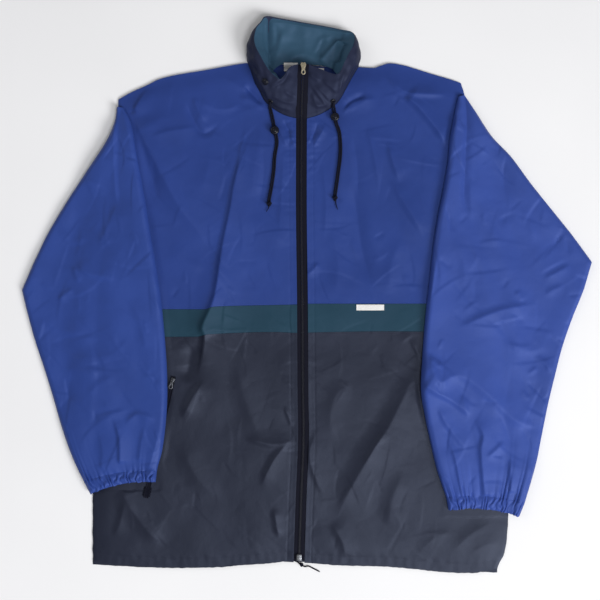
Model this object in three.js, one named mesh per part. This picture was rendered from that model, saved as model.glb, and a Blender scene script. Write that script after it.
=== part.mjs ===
// A windbreaker jacket laid flat on its back, zipped, with the sleeves folded down beside the body.
// Millimetres, +Z up, +Y towards the collar, +X to the right of someone looking down at the front.
// Outlines are drawn in a layout grid with x to the right and y down, in steps of UNIT millimetres.

import * as THREE from "three";

// Driving dimensions
const JACKET_SPAN = 855; // from elbow to elbow
const SPAN_UNITS = 570; // the same width in the layout grid
const UNIT = JACKET_SPAN / SPAN_UNITS;
const LAYOUT_CENTRE = { x: 307, y: 295.3 };
const WALL = 1.5; // each cloth wall
const GAP = 0.3; // between neighbouring pieces
const BODY_LOFT = 3.4; // how far the front lies above its own rolled edge
const EDGE_ROLL = 18; // width over which the front rolls down to the back
const DRAPE_START = 10; // the sleeve leaves the body's height this far outside its side
const DRAPE_RUN = 42; // and reaches the floor over this distance
const SLEEVE_CLEAR = 1.9; // over the front, enough for the pocket zip
const WEDGE_CLEAR = 0.9; // at the shoulder, where the sleeve starts
const FOLD_ROUND = 9; // radius of a sleeve's folded edges
const ZIP_HALF = 5.4; // half the zip's width, in layout units
const CHAIN_HALF = 1.4; // half the tooth chain's width, in layout units
const TAPE_DROP = 0.4; // the tapes lie this far below the cloth beside them
const TAPE_THICK = 1.1;
const TAPE_CLEAR = 0.2; // from a tape to the cloth and to the teeth, in layout units
const CHAIN_RISE = 0.7; // the teeth stand this far above the cloth beside them
const CHAIN_THICK = 2.2;
const CORD_DIAMETER = 2.6;
const CORD_SIDES = 8;
const CORD_LIFT = 0.5; // what lies on the front stands this far off it

// Colours and surfaces
const CLOTH = { roughness: 0.55, metalness: 0 };
const METAL = { roughness: 0.35, metalness: 0.9 };
const blue = new THREE.MeshStandardMaterial({ color: 0x35508f, ...CLOTH });
const teal = new THREE.MeshStandardMaterial({ color: 0x2f5566, ...CLOTH });
const navy = new THREE.MeshStandardMaterial({ color: 0x2c3346, ...CLOTH });
const black = new THREE.MeshStandardMaterial({ color: 0x15161c, ...CLOTH });
const white = new THREE.MeshStandardMaterial({ color: 0xe8e6e2, ...CLOTH });
const brass = new THREE.MeshStandardMaterial({ color: 0xb9ab83, ...METAL });
const steel = new THREE.MeshStandardMaterial({ color: 0x8a8c90, ...METAL });

// Outlines of the body, in layout units
const SHOULDER = {
  left: [[118.8, 99.8], [133, 92], [147, 85.8], [160, 79.5], [177, 75.3], [188, 73.4],
    [199, 71.7], [212, 69.4], [225, 67], [236, 65], [247.3, 63.3]],
  right: [[358.5, 67.5], [366, 68.2], [373.6, 68.4], [381, 66], [389.6, 63.8], [404, 66], [415, 69.2], [427, 73],
    [438, 76.3], [450, 79.8], [460.8, 83.4]],
};
const NECKLINE = {
  left: [[247.3, 63.3], [250.8, 72], [255, 84], [259.4, 91.8], [263.6, 100.3], [269.3, 106.4], [278, 112.6],
    [287.5, 116.9], [296.1, 119]],
  right: [[306.9, 119.3], [317.6, 116], [326.3, 111.7], [333, 107.4], [339, 101.5], [344.5, 92.5], [350, 82],
    [354.5, 74], [358.5, 67.5]],
};
const BACK_NECKLINE = [[247.3, 63.3], [262, 64], [285, 64.6], [303, 65.4], [325, 66.6], [345, 67.4], [358.5, 67.5]];
// Rows: height in the layout, x of the side edge
const SIDE = {
  left: [[99.8, 118.8], [108, 117.6], [131, 114], [150, 112], [180, 111], [215, 109], [250, 103], [285, 97],
    [350, 95], [430, 93.5], [493, 93], [560.5, 93]],
  right: [[83.4, 460.8], [95, 463.9], [120, 467], [150, 467.5], [180, 469], [215, 474], [250, 486], [285, 500],
    [350, 504], [430, 507], [517, 508], [548, 505.5], [568, 497]],
};
const HEM = [[93, 560.5], [121, 564.4], [144, 566], [170, 567.4], [221, 566.6], [240, 564.7], [274, 562.4],
  [280, 561], [296, 561.8], [309, 562.4], [338, 564.7], [382.5, 566], [409, 568], [451, 572], [472, 572.5],
  [486, 570], [497, 568], [508, 566]];
const BAND_TOP = [[93, 308.8], [204, 309.3], [215, 306.6], [297, 304.4], [306, 303.7], [508, 303.7]];
const BAND_FOOT = [[93, 337], [197, 336.6], [208.6, 334.2], [275, 332], [297, 332.8], [320, 332.2], [382, 331.3],
  [508, 332.4]];
const ZIP_LINE = [[67, 303.4], [119, 301.5], [200, 301.3], [300, 302.4], [400, 303], [430, 303.5], [500, 301],
  [560, 299]];
const ZIP_HEAD = 67.6; // the layout heights where the zip starts and ends
const ZIP_FOOT = 559.5;
const ZIP_LEVELS = [ZIP_HEAD, 72, 80, 88, 96, 104, 112, 118.5, 126, 150, 190, 230, 270, 310, 350, 400, 430, 465,
  500, 530, ZIP_FOOT];
const ZIP_SLIDER_AT = 69; // layout height of the main slider's middle

// The body's largest folds. Rows: route in layout units, height and half width in millimetres.
const BODY_FOLDS = [
  { route: [[240, 150], [226, 260], [204, 316], [197, 380]], height: 3.4, width: 17 },
  { route: [[148, 146], [165, 172], [180, 205], [193, 235]], height: 3.6, width: 18 },
  { route: [[140, 112], [156, 86]], height: 3.2, width: 14 },
  { route: [[212, 360], [193, 394], [185, 414]], height: 3, width: 17 },
  { route: [[120, 500], [146, 525], [167, 539]], height: 3.2, width: 18 },
  { route: [[358, 101], [381, 110], [404, 116], [430, 122], [445, 145]], height: 3.2, width: 15 },
  { route: [[350, 183], [364, 264]], height: 2.4, width: 17 },
  { route: [[393, 422], [375, 449], [348, 493], [338, 523]], height: 3.8, width: 19 },
  { route: [[262, 487], [288, 445]], height: 2.4, width: 15 },
];
const SLEEVE_FOLDS = [
  { route: [[80, 262], [97, 276], [116, 281]], height: 2.6, width: 14 },
  { route: [[61, 302], [78, 289]], height: 2.4, width: 12 },
  { route: [[118, 207], [99, 243]], height: 2.4, width: 15 },
  { route: [[104, 416], [129, 407]], height: 2.2, width: 12 },
  { route: [[122, 427], [120.5, 466]], height: 3, width: 11 },
  { route: [[452, 325], [489, 313], [511, 303]], height: 3, width: 13 },
  { route: [[461, 348], [479, 367], [507, 415]], height: 3, width: 14 },
  { route: [[424, 383], [446, 397], [469, 414]], height: 2.6, width: 12 },
  { route: [[481, 433], [480, 452], [483, 488]], height: 3, width: 12 },
];

// Sleeve stations from the shoulder to the cuff's seam. outer and inner are the two folded edges,
// loft is the height of the fold in millimetres, bow moves the middle of the row towards the shoulder.
const SLEEVE = {
  left: [
    { outer: [117.4, 108], inner: [124.5, 108.5], loft: 2.5, bow: 0 },
    { outer: [114.6, 124], inner: [132, 124], loft: 5, bow: 0 },
    { outer: [105, 145], inner: [137, 151], loft: 7, bow: 0 },
    { outer: [86, 173], inner: [142, 177], loft: 7.5, bow: 0 },
    { outer: [67, 202], inner: [147, 205], loft: 7.5, bow: 0 },
    { outer: [48.5, 233], inner: [151.5, 234], loft: 7, bow: 0 },
    { outer: [34, 262.5], inner: [156.5, 263], loft: 6.5, bow: 0 },
    { outer: [22.2, 290], inner: [160.8, 290], loft: 6.5, bow: 0 },
    { outer: [26.5, 309], inner: [163, 310], loft: 6.5, bow: 0 },
    { outer: [34.5, 338], inner: [165.5, 338], loft: 6.5, bow: 0 },
    { outer: [44, 367], inner: [167.5, 367], loft: 6.5, bow: 0 },
    { outer: [53, 396], inner: [168, 396], loft: 6, bow: 0 },
    { outer: [61, 424], inner: [166.3, 424], loft: 6, bow: 0.5 },
    { outer: [70, 450], inner: [163, 449], loft: 6, bow: 2 },
    { outer: [79, 470], inner: [159, 464], loft: 5.5, bow: 3.5 },
    { outer: [84.5, 480.8], inner: [157.6, 470.3], loft: 5, bow: 4 },
  ],
  right: [
    { outer: [464.3, 96], inner: [457.5, 97.5], loft: 2.5, bow: 0 },
    { outer: [475, 112], inner: [453.5, 115], loft: 5, bow: 0 },
    { outer: [491, 136], inner: [449, 140], loft: 6.5, bow: 0 },
    { outer: [511, 157], inner: [447, 163], loft: 7, bow: 0 },
    { outer: [531, 184], inner: [442.5, 190], loft: 7, bow: 0 },
    { outer: [551, 209], inner: [437, 217], loft: 6.5, bow: 0 },
    { outer: [572, 235], inner: [432.5, 246], loft: 6.5, bow: 0 },
    { outer: [591.8, 262], inner: [429, 278], loft: 6.5, bow: 0 },
    { outer: [584, 289], inner: [426, 304], loft: 6.5, bow: 0 },
    { outer: [573, 316], inner: [423.5, 330], loft: 6.5, bow: 0 },
    { outer: [562.5, 346], inner: [421.5, 359], loft: 6.5, bow: 0 },
    { outer: [555, 375], inner: [420, 388], loft: 6, bow: 0 },
    { outer: [548, 404], inner: [423.5, 412], loft: 6, bow: 0 },
    { outer: [541.5, 436], inner: [430, 443], loft: 6, bow: 1 },
    { outer: [535.5, 465], inner: [436.5, 470], loft: 6, bow: 2.5 },
    { outer: [524.3, 502.3], inner: [445.5, 496.3], loft: 5, bow: 4.5 },
  ],
};
const SLEEVE_COLUMNS = 5; // across the middle, between the rounded edges
// The lower edges of the cuffs, with the number of gathers across each face
const CUFF = {
  left: { outer: [91, 493.6], inner: [156.4, 481.3], bow: 4.5, gathers: 10, loft: 5 },
  right: { outer: [518.5, 516], inner: [447.6, 508.8], bow: 4.5, gathers: 13, loft: 5 },
};
const GATHER_HEIGHT = 1.1;
const GATHER_SAMPLES = 4;

// Collar stations from the zip's left side round the back to its right side, in layout units.
// base lies on the neckline, rim is the top edge, and swell is how far the middle stands out.
// Heights are millimetres. A base with no height lies on the front's own face.
const COLLAR = [
  { base: [296.1, 119], rim: [298.2, 67.4, 27], swell: [0, 0, 4] },
  { base: [287.5, 116.9], rim: [290.2, 70.2, 28], swell: [0, 0, 4.5] },
  { base: [278, 112.6], rim: [285.6, 77, 29], swell: [-0.5, 0.5, 4.5] },
  { base: [269.3, 106.4], rim: [281, 82.6, 30], swell: [-0.8, 0.8, 4] },
  { base: [263.6, 100.3], rim: [276.4, 80.2, 31], swell: [-1, 1, 4] },
  { base: [259.4, 91.8], rim: [271.6, 76.4, 32], swell: [-1.4, 1, 4.5] },
  { base: [255, 84], rim: [266.4, 69.6, 33], swell: [-1.8, 0.6, 4.5] },
  { base: [250.8, 72], rim: [261.4, 61, 34], swell: [-2.4, 0, 4] },
  { base: [247.3, 63.3], rim: [256.4, 51, 34], swell: [-3.2, -1, 2] },
  { base: [249, 62.2, 3], rim: [254.4, 42, 31], swell: [-4.6, -3, 0] },
  { base: [253, 62.4, 1.2], rim: [256.4, 32, 26], swell: [-4.4, -5.5, -1.5] },
  { base: [259, 62.8, 0.4], rim: [261, 24.4, 21], swell: [-3, -6, -3] },
  { base: [268, 63, 0], rim: [267, 18.6, 16], swell: [-1, -4, -4] },
  { base: [283, 63.4, 0], rim: [283, 20.6, 13], swell: [0, -2, -4.5] },
  { base: [303, 64.2, 0], rim: [303, 24.2, 12], swell: [0, -2, -4.5] },
  { base: [322, 65.2, 0], rim: [322, 27.4, 12], swell: [0, -2, -4.5] },
  { base: [340, 66, 0], rim: [338, 31, 14], swell: [1, -3, -4.5] },
  { base: [350, 66.2, 0.6], rim: [350.4, 34.4, 19], swell: [3, -4, -3] },
  { base: [356, 66.4, 2], rim: [354.6, 40.6, 25], swell: [3.6, -3, -1] },
  { base: [358.5, 67.5], rim: [352.6, 49.4, 31], swell: [4, -1.4, 1] },
  { base: [354.5, 74], rim: [348.6, 57, 33], swell: [3, 0, 3] },
  { base: [350, 82], rim: [344.4, 65, 33], swell: [2.4, 0, 4] },
  { base: [344.5, 92.5], rim: [341, 72.6, 32], swell: [1.6, 0.6, 4.5] },
  { base: [339, 101.5], rim: [337.2, 77.6, 31], swell: [1, 0.6, 4.5] },
  { base: [333, 107.4], rim: [331, 76.8, 30], swell: [0.6, 0.6, 4.5] },
  { base: [326.3, 111.7], rim: [323, 73.6, 29], swell: [0.4, 0, 4.5] },
  { base: [317.6, 116], rim: [314.2, 70, 28], swell: [0, 0, 4.5] },
  { base: [306.9, 119.3], rim: [308.6, 67.4, 27], swell: [0, 0, 4] },
];
const COLLAR_ROWS = 7;
const COLLAR_SEAM = 0.6; // from the neckline's edge to the collar, millimetres
const FRONT_STATIONS = 4; // stations from the zip to the fold at the front corner
// The lining seen inside the collar, in rows from its base line up to the top edge at the back.
// Columns: rim of the left side, its foot, left valley, back at three places, right valley, foot, rim.
const LINING = [
  [[280, 81.4, 28], [277.4, 77, 17], [274.2, 70.6, 7], [285, 64, 3.6], [303, 65, 3.6], [322, 66.4, 3.8],
    [331.4, 69.6, 7], [333.4, 72.8, 17], [336, 76.4, 28]],
  [[270.4, 72.6, 29.5], [270.8, 68.2, 18], [271, 62, 7], [284.6, 58, 4], [303, 59, 4], [320.6, 60, 4.4],
    [332.4, 62, 7], [336.6, 63.6, 18], [343.2, 66, 30]],
  [[263, 59, 30.5], [266, 56.6, 18], [269.6, 53, 7], [284.2, 50, 4.4], [303, 51, 4.4], [319.6, 52, 4.8],
    [333.4, 53.6, 7.5], [339.4, 54.4, 18], [348, 56.6, 30]],
  [[258.4, 49.6, 30.5], [262.6, 48, 18], [268.8, 45, 7.5], [283.8, 42, 5.4], [303, 43, 5.2], [320, 44.4, 5.8],
    [335, 45.4, 8.5], [341.6, 46.4, 18], [350.4, 48.6, 28]],
  [[256.8, 41.4, 28], [261.4, 40, 18], [268.4, 36.4, 9], [283.6, 33.6, 8], [303, 35, 7.6], [321, 37.4, 8],
    [338, 39.6, 11], [344.6, 40.8, 17], [351.6, 42.2, 23]],
  [[258.6, 33.4, 24], [262.4, 31.6, 17], [268.2, 28.4, 12], [283.2, 27, 11.2], [303, 29.6, 10.8],
    [321.6, 32.6, 11], [339.6, 35.6, 14], [345.8, 36.4, 17.5], [350.8, 37.4, 21]],
  [[263, 24.6, 20.5], [265, 22.8, 19], [268.4, 21.4, 18], [283, 21.8, 16.4], [303, 25.4, 15.4],
    [322, 28.6, 15.4], [338.6, 32.4, 17], [344.4, 33.8, 19], [348.6, 35.4, 21.4]],
];

// Cords. Routes are in layout units and lie on the front; the upper strands end at the lock.
// An eyelet is given by its collar station and its share of the way up.
const CORDS = {
  left: {
    upper: [[[269.4, 109.4], [270.2, 118], [272.2, 126]], [[273.4, 110.6], [275.4, 118], [276.6, 126]]],
    lock: [274.8, 131.4],
    lower: [[[275.2, 137.6], [275.6, 144], [273.6, 157], [272.6, 171], [270.6, 186], [268, 200.4]],
      [[277.6, 137.6], [278.2, 144], [276.2, 157], [275.2, 171], [273.2, 186], [270.6, 200.4]]],
    knot: [269.2, 204.4],
    tail: [[269, 207.4], [268.2, 212]],
    eyelet: [3, 0.16],
  },
  right: {
    upper: [[[332.2, 110.2], [332.6, 112.4]], [[335.4, 110.2], [335.8, 112.4]]],
    lock: [334.8, 118],
    lower: [[[334.6, 124.2], [337.4, 133], [338.8, 145.5], [338.6, 159], [336.4, 176], [333.8, 194.6]],
      [[337.4, 124.2], [340.2, 133], [341.6, 145.5], [341.2, 159], [339, 176], [336.4, 194.6]]],
    knot: [334.8, 198.8],
    tail: [[335.6, 202], [337.2, 210]],
    eyelet: [24, 0.16],
  },
};
const LOCK_RADIUS = 6.6;
const LOCK_HEIGHT = 8;
const KNOT_RADIUS = 4.2;
const HEM_CORD = [[302.2, 565.4], [305, 566.6], [308.4, 566], [312, 567.6], [317.5, 570.4]];
const HEM_CORD_DIAMETER = 2;
const HEM_KNOT = [300.6, 563.85];
const HEM_KNOT_RADIUS = 3.2;
const FLOOR_CLEAR = 0.05; // under the hem cord

// Pockets: the zip's two ends, and where its pull tab lies
const POCKET = {
  left: { top: [174, 376], foot: [146.5, 497] },
  right: { top: [430, 376], foot: [456, 490] },
};
const TUCKED = { at: [431.5, 382], rise: 6, reach: 34 }; // the slider under the right sleeve
const POCKET_HALF = 2.4; // half the pocket zip's width, in layout units
const POCKET_RISE = 1.1; // its thickness
const POCKET_SPANS = 13;
const POCKET_SLIDER_AT = 0.03; // the slider's share of the way down
const TAB = { width: 7, length: 14, thick: 1.1, hole: 3 };
const TAB_SEAT = GAP + TAB.thick / 2; // from a slider's top to the middle of the tab lying on it
const SLIDER = { width: 8, length: 9.5, height: 3.4 };
const POCKET_SLIDER = { width: 6.4, length: 7, height: 2 };
const ZIP_BOX = { width: 7.5, length: 9, thick: 2.4, above: 3 }; // above the zip's foot, in layout units
const EYELET = { hole: 1.4, rim: 3.6, half: 0.4, lift: 1.1 };
const SNAP = { top: 4.4, foot: 5, height: 2, station: 5, share: 0.5, lift: 1.8 };
const LABEL_THICK = 1;
const LABELS = {
  band: { across: [356.2, 383.8], down: [304.6, 310.4] },
  neck: { across: [284, 297], down: [67.6, 74.6] },
  loop: { across: [306, 324], down: [68.4, 71] },
};

const vec = (x, y, z = 0) => new THREE.Vector3(x, y, z);
const mix = (a, b, t) => a + (b - a) * t;
const clamp = (t) => Math.min(1, Math.max(0, t));
const smooth = (t) => clamp(t) ** 2 * (3 - 2 * clamp(t));
const toX = (u) => (u - LAYOUT_CENTRE.x) * UNIT;
const toY = (v) => (LAYOUT_CENTRE.y - v) * UNIT;
const place = ([u, v], z) => vec(toX(u), toY(v), z);

// Straight-line reading of a table of [at, value] rows.
function read(table, at) {
  if (at <= table[0][0]) return table[0][1];
  const i = table.findIndex((row) => row[0] >= at);
  if (i < 0) return table[table.length - 1][1];
  const [a, b] = [table[i - 1], table[i]];
  return mix(a[1], b[1], (at - a[0]) / (b[0] - a[0]));
}

// The rise of a fold at a layout point: a rounded ridge that fades towards its ends.
function foldRise(fold, u, v) {
  const { route, height, width } = fold;
  let near = Infinity;
  let along = 0;
  route.slice(1).forEach(([bu, bv], i) => {
    const [au, av] = route[i];
    const t = clamp(((u - au) * (bu - au) + (v - av) * (bv - av)) / ((bu - au) ** 2 + (bv - av) ** 2));
    const d = Math.hypot(u - mix(au, bu, t), v - mix(av, bv, t));
    if (d < near) [near, along] = [d, (i + t) / (route.length - 1)];
  });
  const fade = 0.35 + 0.65 * Math.sin(Math.PI * along);
  return height * fade * Math.exp(-(((near * UNIT) / width) ** 2));
}
const foldsAt = (folds, u, v) => folds.reduce((sum, fold) => sum + foldRise(fold, u, v), 0);

const sideOf = (u) => (u < LAYOUT_CENTRE.x ? "left" : "right");
const sign = { left: -1, right: 1 };

// Distance inwards from the body's side edge, millimetres, negative outside.
function insideSide(u, v) {
  const side = sideOf(u);
  return (read(SIDE[side], v) - u) * sign[side] * UNIT;
}

// How much of its full loft the front has at a layout point: it rolls down at sides, shoulders and hem.
function fullness(u, v) {
  const roll = (d) => 1 - Math.exp(-((Math.max(d, 0) / EDGE_ROLL) ** 2));
  const shoulder = (v - read(SHOULDER[sideOf(u)], u)) * UNIT;
  const hem = (read(HEM, u) - v) * UNIT;
  return roll(insideSide(u, v)) * roll(shoulder) * (0.35 + 0.65 * roll(hem));
}

// Under the sleeves the front has no folds of its own.
function clearOfSleeve(u, v) {
  const rows = SLEEVE[sideOf(u)].map(({ inner }) => [inner[1], inner[0]]);
  const past = (u - read(rows, v)) * -sign[sideOf(u)] * UNIT;
  return v > read(rows, 0) && v < rows[rows.length - 1][0] + 20 ? smooth((past - 2) / 16) : 1;
}

// The lower face of the front cloth.
function frontFace(u, v) {
  const full = fullness(u, v);
  return WALL + GAP + full * (BODY_LOFT + foldsAt(BODY_FOLDS, u, v) * clearOfSleeve(u, v));
}
const frontTop = (u, v) => frontFace(u, v) + WALL;

// What a sleeve lies on: the front, then a drape down to the floor beside the body.
// It swells over the slider of the right pocket.
function support(u, v, clear) {
  const drape = smooth((insideSide(u, v) + DRAPE_START + DRAPE_RUN) / DRAPE_RUN);
  const { at, rise, reach } = TUCKED;
  const swell = rise * Math.exp(-(((Math.hypot(u - at[0], v - at[1]) * UNIT) / reach) ** 2));
  return drape * (frontTop(u, v) + clear + swell);
}

// One closed body between two grids of points that face each other.
function closedBetween(upper, lower) {
  const [rows, columns] = [upper.length, upper[0].length];
  const points = [...upper.flat(), ...lower.flat()];
  const shift = rows * columns;
  const index = [];
  const quad = (a, b, c, d) => index.push(a, b, c, a, c, d);
  const at = (r, c) => r * columns + c;
  for (let r = 1; r < rows; r++)
    for (let c = 1; c < columns; c++) {
      quad(at(r - 1, c - 1), at(r - 1, c), at(r, c), at(r, c - 1));
      quad(shift + at(r, c - 1), shift + at(r, c), shift + at(r - 1, c), shift + at(r - 1, c - 1));
    }
  const wallAlong = (edge) =>
    edge.slice(1).forEach((b, i) => quad(edge[i], edge[i] + shift, b + shift, b));
  const span = (n) => [...Array(n).keys()];
  wallAlong(span(columns).map((c) => at(0, c)));
  wallAlong(span(columns).map((c) => at(rows - 1, columns - 1 - c)));
  wallAlong(span(rows).map((r) => at(rows - 1 - r, 0)));
  wallAlong(span(rows).map((r) => at(r, columns - 1)));
  const volume = index.reduce((sum, _, i) =>
    i % 3 ? sum : sum + points[index[i]].dot(points[index[i + 1]].clone().cross(points[index[i + 2]])), 0);
  if (volume < 0) index.reverse();
  const geometry = new THREE.BufferGeometry().setFromPoints(points);
  geometry.setIndex(index);
  geometry.computeVertexNormals();
  return geometry;
}

const raised = (grid, rise) => grid.map((row) => row.map((p) => vec(p.x, p.y, p.z + rise)));

// A grid moved along its own normals.
function offset(grid, distance) {
  const last = (list) => list.length - 1;
  return grid.map((row, r) => row.map((p, c) => {
    const across = row[Math.min(c + 1, last(row))].clone().sub(row[Math.max(c - 1, 0)]);
    const along = grid[Math.min(r + 1, last(grid))][c].clone().sub(grid[Math.max(r - 1, 0)][c]);
    return p.clone().addScaledVector(across.cross(along).normalize(), distance);
  }));
}

function piece(name, geometry, material, position = vec(0, 0, 0)) {
  const mesh = new THREE.Mesh(geometry, material);
  mesh.name = name;
  mesh.position.copy(position);
  return mesh;
}

// A grid of layout points between a lower and an upper edge, with the same columns in every panel.
function panelGrid({ side, lower, upper, rows, height }) {
  const edge = topEdge(side);
  const acrossAt = (v, share) =>
    mix(read(ZIP_LINE, v) + sign[side] * ZIP_HALF, read(SIDE[side], v), share);
  const [topZip, topSide] = [edge[0], edge[edge.length - 1]];
  return [...Array(rows).keys()].map((r) => edge.map(([u0, v0]) => {
    const share = (u0 - topZip[0]) / (topSide[0] - topZip[0]);
    const t = r / (rows - 1);
    const foot = acrossAt(lower(u0), share);
    const head = upper ? acrossAt(upper(u0), share) : u0;
    const [vFoot, vHead] = [lower(foot), upper ? upper(head) : v0];
    const v = mix(vFoot, vHead, t);
    const curve = acrossAt(v, share) - mix(acrossAt(vFoot, share), acrossAt(vHead, share), t);
    const u = mix(foot, head, t) + curve;
    return place([u, v], height(u, v));
  }));
}

// The front's upper edge from the zip to the shoulder point: the neckline, then the shoulder seam.
function topEdge(side) {
  return side === "left"
    ? [...SHOULDER.left, ...NECKLINE.left.slice(1)].reverse()
    : [...NECKLINE.right, ...SHOULDER.right.slice(1)];
}
const SEAM = GAP / UNIT / 2; // half a seam's gap, in layout units
const below = (table) => (u) => read(table, u) + SEAM;
const above = (table) => (u) => read(table, u) - SEAM;

function fronts() {
  return ["left", "right"].flatMap((side) => {
    const panel = (name, lower, upper, rows, material) => {
      const grid = panelGrid({ side, lower, upper, rows, height: frontFace });
      return piece(`front_${name}_${side}`, closedBetween(raised(grid, WALL), grid), material);
    };
    return [
      panel("upper", above(BAND_TOP), null, 11, blue),
      panel("band", above(BAND_FOOT), below(BAND_TOP), 2, teal),
      panel("lower", (u) => read(HEM, u), below(BAND_FOOT), 10, navy),
    ];
  });
}

// The back lies flat on the floor. Its columns follow the shoulders and the back of the neck.
function backs() {
  const edge = [...SHOULDER.left, ...BACK_NECKLINE.slice(1, -1), ...SHOULDER.right];
  const [first, last] = [edge[0][0], edge[edge.length - 1][0]];
  const panel = (name, lower, upper, rows, material) => {
    const grid = [...Array(rows).keys()].map((r) => edge.map(([u0]) => {
      const v = mix(lower(u0), upper(u0), r / (rows - 1));
      const u = upper === neck && r === rows - 1 ? u0
        : mix(read(SIDE.left, v), read(SIDE.right, v), (u0 - first) / (last - first));
      return place([u, v], 0);
    }));
    return piece(`back_${name}`, closedBetween(raised(grid, WALL), grid), material);
  };
  const neck = (u) => read(edge, u);
  return [
    panel("upper", above(BAND_TOP), neck, 7, blue),
    panel("band", above(BAND_FOOT), below(BAND_TOP), 2, teal),
    panel("lower", (u) => read(HEM, u), below(BAND_FOOT), 6, navy),
  ];
}

// Shares across a sleeve, close together at the rounded edges.
function sleeveShares(width, columns) {
  const round = Math.min(FOLD_ROUND, width * 0.4) / width;
  const edge = [0, 0.13, 0.45].map((s) => s * round);
  const middle = [...Array(columns).keys()].map((c) => mix(round, 1 - round, c / (columns - 1)));
  return [...edge, ...middle, ...edge.map((s) => 1 - s).reverse()];
}

// The arch of a sleeve's upper cloth: rounded at both folds, a little lower between them.
function archRise(share, width, loft) {
  const inwards = Math.min(share, 1 - share) * width;
  const round = Math.min(FOLD_ROUND, width * 0.4);
  const shoulder = Math.sqrt(1 - (1 - Math.min(inwards / round, 1)) ** 2);
  return loft * shoulder * (1 - 0.3 * smooth((inwards - round) / (4 * FOLD_ROUND)));
}

// A row of a sleeve or cuff: layout points from the inner to the outer fold.
function rowAcross({ inner, outer, bow }, shares) {
  return shares.map((s) => [mix(inner[0], outer[0], s), mix(inner[1], outer[1], s) - bow * 4 * s * (1 - s)]);
}
const widthOf = ({ inner, outer }) => Math.hypot(outer[0] - inner[0], outer[1] - inner[1]) * UNIT;

function sleeves() {
  return ["left", "right"].flatMap((side) => {
    const stations = SLEEVE[side];
    const clearAt = (k) => mix(WEDGE_CLEAR, SLEEVE_CLEAR, smooth(k / 3));
    const under = stations.map((station, k) => {
      const shares = sleeveShares(widthOf(station), SLEEVE_COLUMNS);
      return rowAcross(station, shares).map((p) => place(p, support(...p, clearAt(k))));
    });
    const upper = stations.map((station, k) => {
      const width = widthOf(station);
      const shares = sleeveShares(width, SLEEVE_COLUMNS);
      return rowAcross(station, shares).map((p, c) => {
        const arch = archRise(shares[c], width, station.loft);
        const folds = foldsAt(SLEEVE_FOLDS, ...p) * clamp((4 * arch) / station.loft - 2);
        return place(p, support(...p, clearAt(k)) + WALL + GAP + arch + folds);
      });
    });
    const outwards = WALL * -sign[side];
    return [
      piece(`sleeve_${side}_under`, closedBetween(raised(under, WALL), under), blue),
      piece(`sleeve_${side}_top`, closedBetween(offset(upper, outwards), upper), blue),
    ];
  });
}

// A cuff's rows run from just past the sleeve's end to its lower edge.
function cuffRows(side, rows) {
  const start = SLEEVE[side][SLEEVE[side].length - 1];
  const end = CUFF[side];
  const toStation = (t) => ({
    inner: [mix(start.inner[0], end.inner[0], t), mix(start.inner[1], end.inner[1], t)],
    outer: [mix(start.outer[0], end.outer[0], t), mix(start.outer[1], end.outer[1], t)],
    bow: mix(start.bow, end.bow, t),
  });
  return [...Array(rows).keys()].map((r) => toStation(mix(0.045, 1, r / (rows - 1))));
}

function cuffs() {
  return ["left", "right"].flatMap((side) => {
    const { gathers, loft } = CUFF[side];
    const columns = gathers * GATHER_SAMPLES + 1;
    const fine = [...Array(columns).keys()].map((c) => c / (columns - 1));
    const top = cuffRows(side, 4).map((station) => rowAcross(station, fine).map((p, c) => {
      const wave = GATHER_HEIGHT * (1 - Math.cos((2 * Math.PI * c) / GATHER_SAMPLES));
      const arch = archRise(fine[c], widthOf(station), loft);
      return place(p, support(...p, SLEEVE_CLEAR) + WALL + GAP + arch * (1 + (wave - GATHER_HEIGHT) / loft));
    }));
    const under = cuffRows(side, 3).map((station) => {
      const shares = sleeveShares(widthOf(station), SLEEVE_COLUMNS);
      return rowAcross(station, shares).map((p) => place(p, support(...p, SLEEVE_CLEAR)));
    });
    return [
      piece(`cuff_${side}_under`, closedBetween(raised(under, WALL), under), blue),
      piece(`cuff_${side}_top`, closedBetween(raised(top, WALL), top), blue),
    ];
  });
}

// A point of the collar's outer face, from the neckline at 0 to the rim at 1.
function collarPoint({ base, rim, swell }, t) {
  const foot = place(base, base.length > 2 ? base[2] : frontTop(...base));
  const top = place(rim, rim[2]);
  const inwards = vec(top.x - foot.x, top.y - foot.y).setLength(COLLAR_SEAM);
  foot.add(inwards);
  const out = vec(swell[0] * UNIT, -swell[1] * UNIT, swell[2]).multiplyScalar(4 * t * (1 - t));
  const point = foot.lerp(top, t).add(out);
  return point.setZ(Math.max(point.z, 0));
}

// Seats a small piece, made round the Z axis, on the collar's outer face at a station.
function seatOnCollar(mesh, index, t, lift) {
  const step = 0.05;
  const across = collarPoint(COLLAR[index + 1], t).sub(collarPoint(COLLAR[index - 1], t));
  const along = collarPoint(COLLAR[index], t + step).sub(collarPoint(COLLAR[index], t - step));
  const normal = across.cross(along).normalize();
  if (normal.z < 0) normal.negate();
  mesh.position.copy(collarPoint(COLLAR[index], t)).addScaledVector(normal, lift);
  mesh.quaternion.setFromUnitVectors(vec(0, 0, 1), normal);
  return mesh;
}

function collar() {
  const ring = [...Array(COLLAR_ROWS).keys()].map((r) =>
    COLLAR.map((station) => collarPoint(station, r / (COLLAR_ROWS - 1))));
  const outer = piece("collar_outer", closedBetween(ring, offset(ring, WALL)), navy);
  const lined = LINING.map((row) => row.map((p) => place(p, p[2])));
  const lining = piece("collar_lining", closedBetween(lined, offset(lined, WALL)), teal);
  const facing = (side, part) => {
    const face = offset(ring, WALL + 3 * GAP).map((row) => part(row));
    return piece(`collar_facing_${side}`, closedBetween(face, offset(face, WALL)), teal);
  };
  return [
    outer,
    lining,
    facing("left", (row) => row.slice(0, FRONT_STATIONS)),
    facing("right", (row) => row.slice(-FRONT_STATIONS)),
  ];
}

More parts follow.
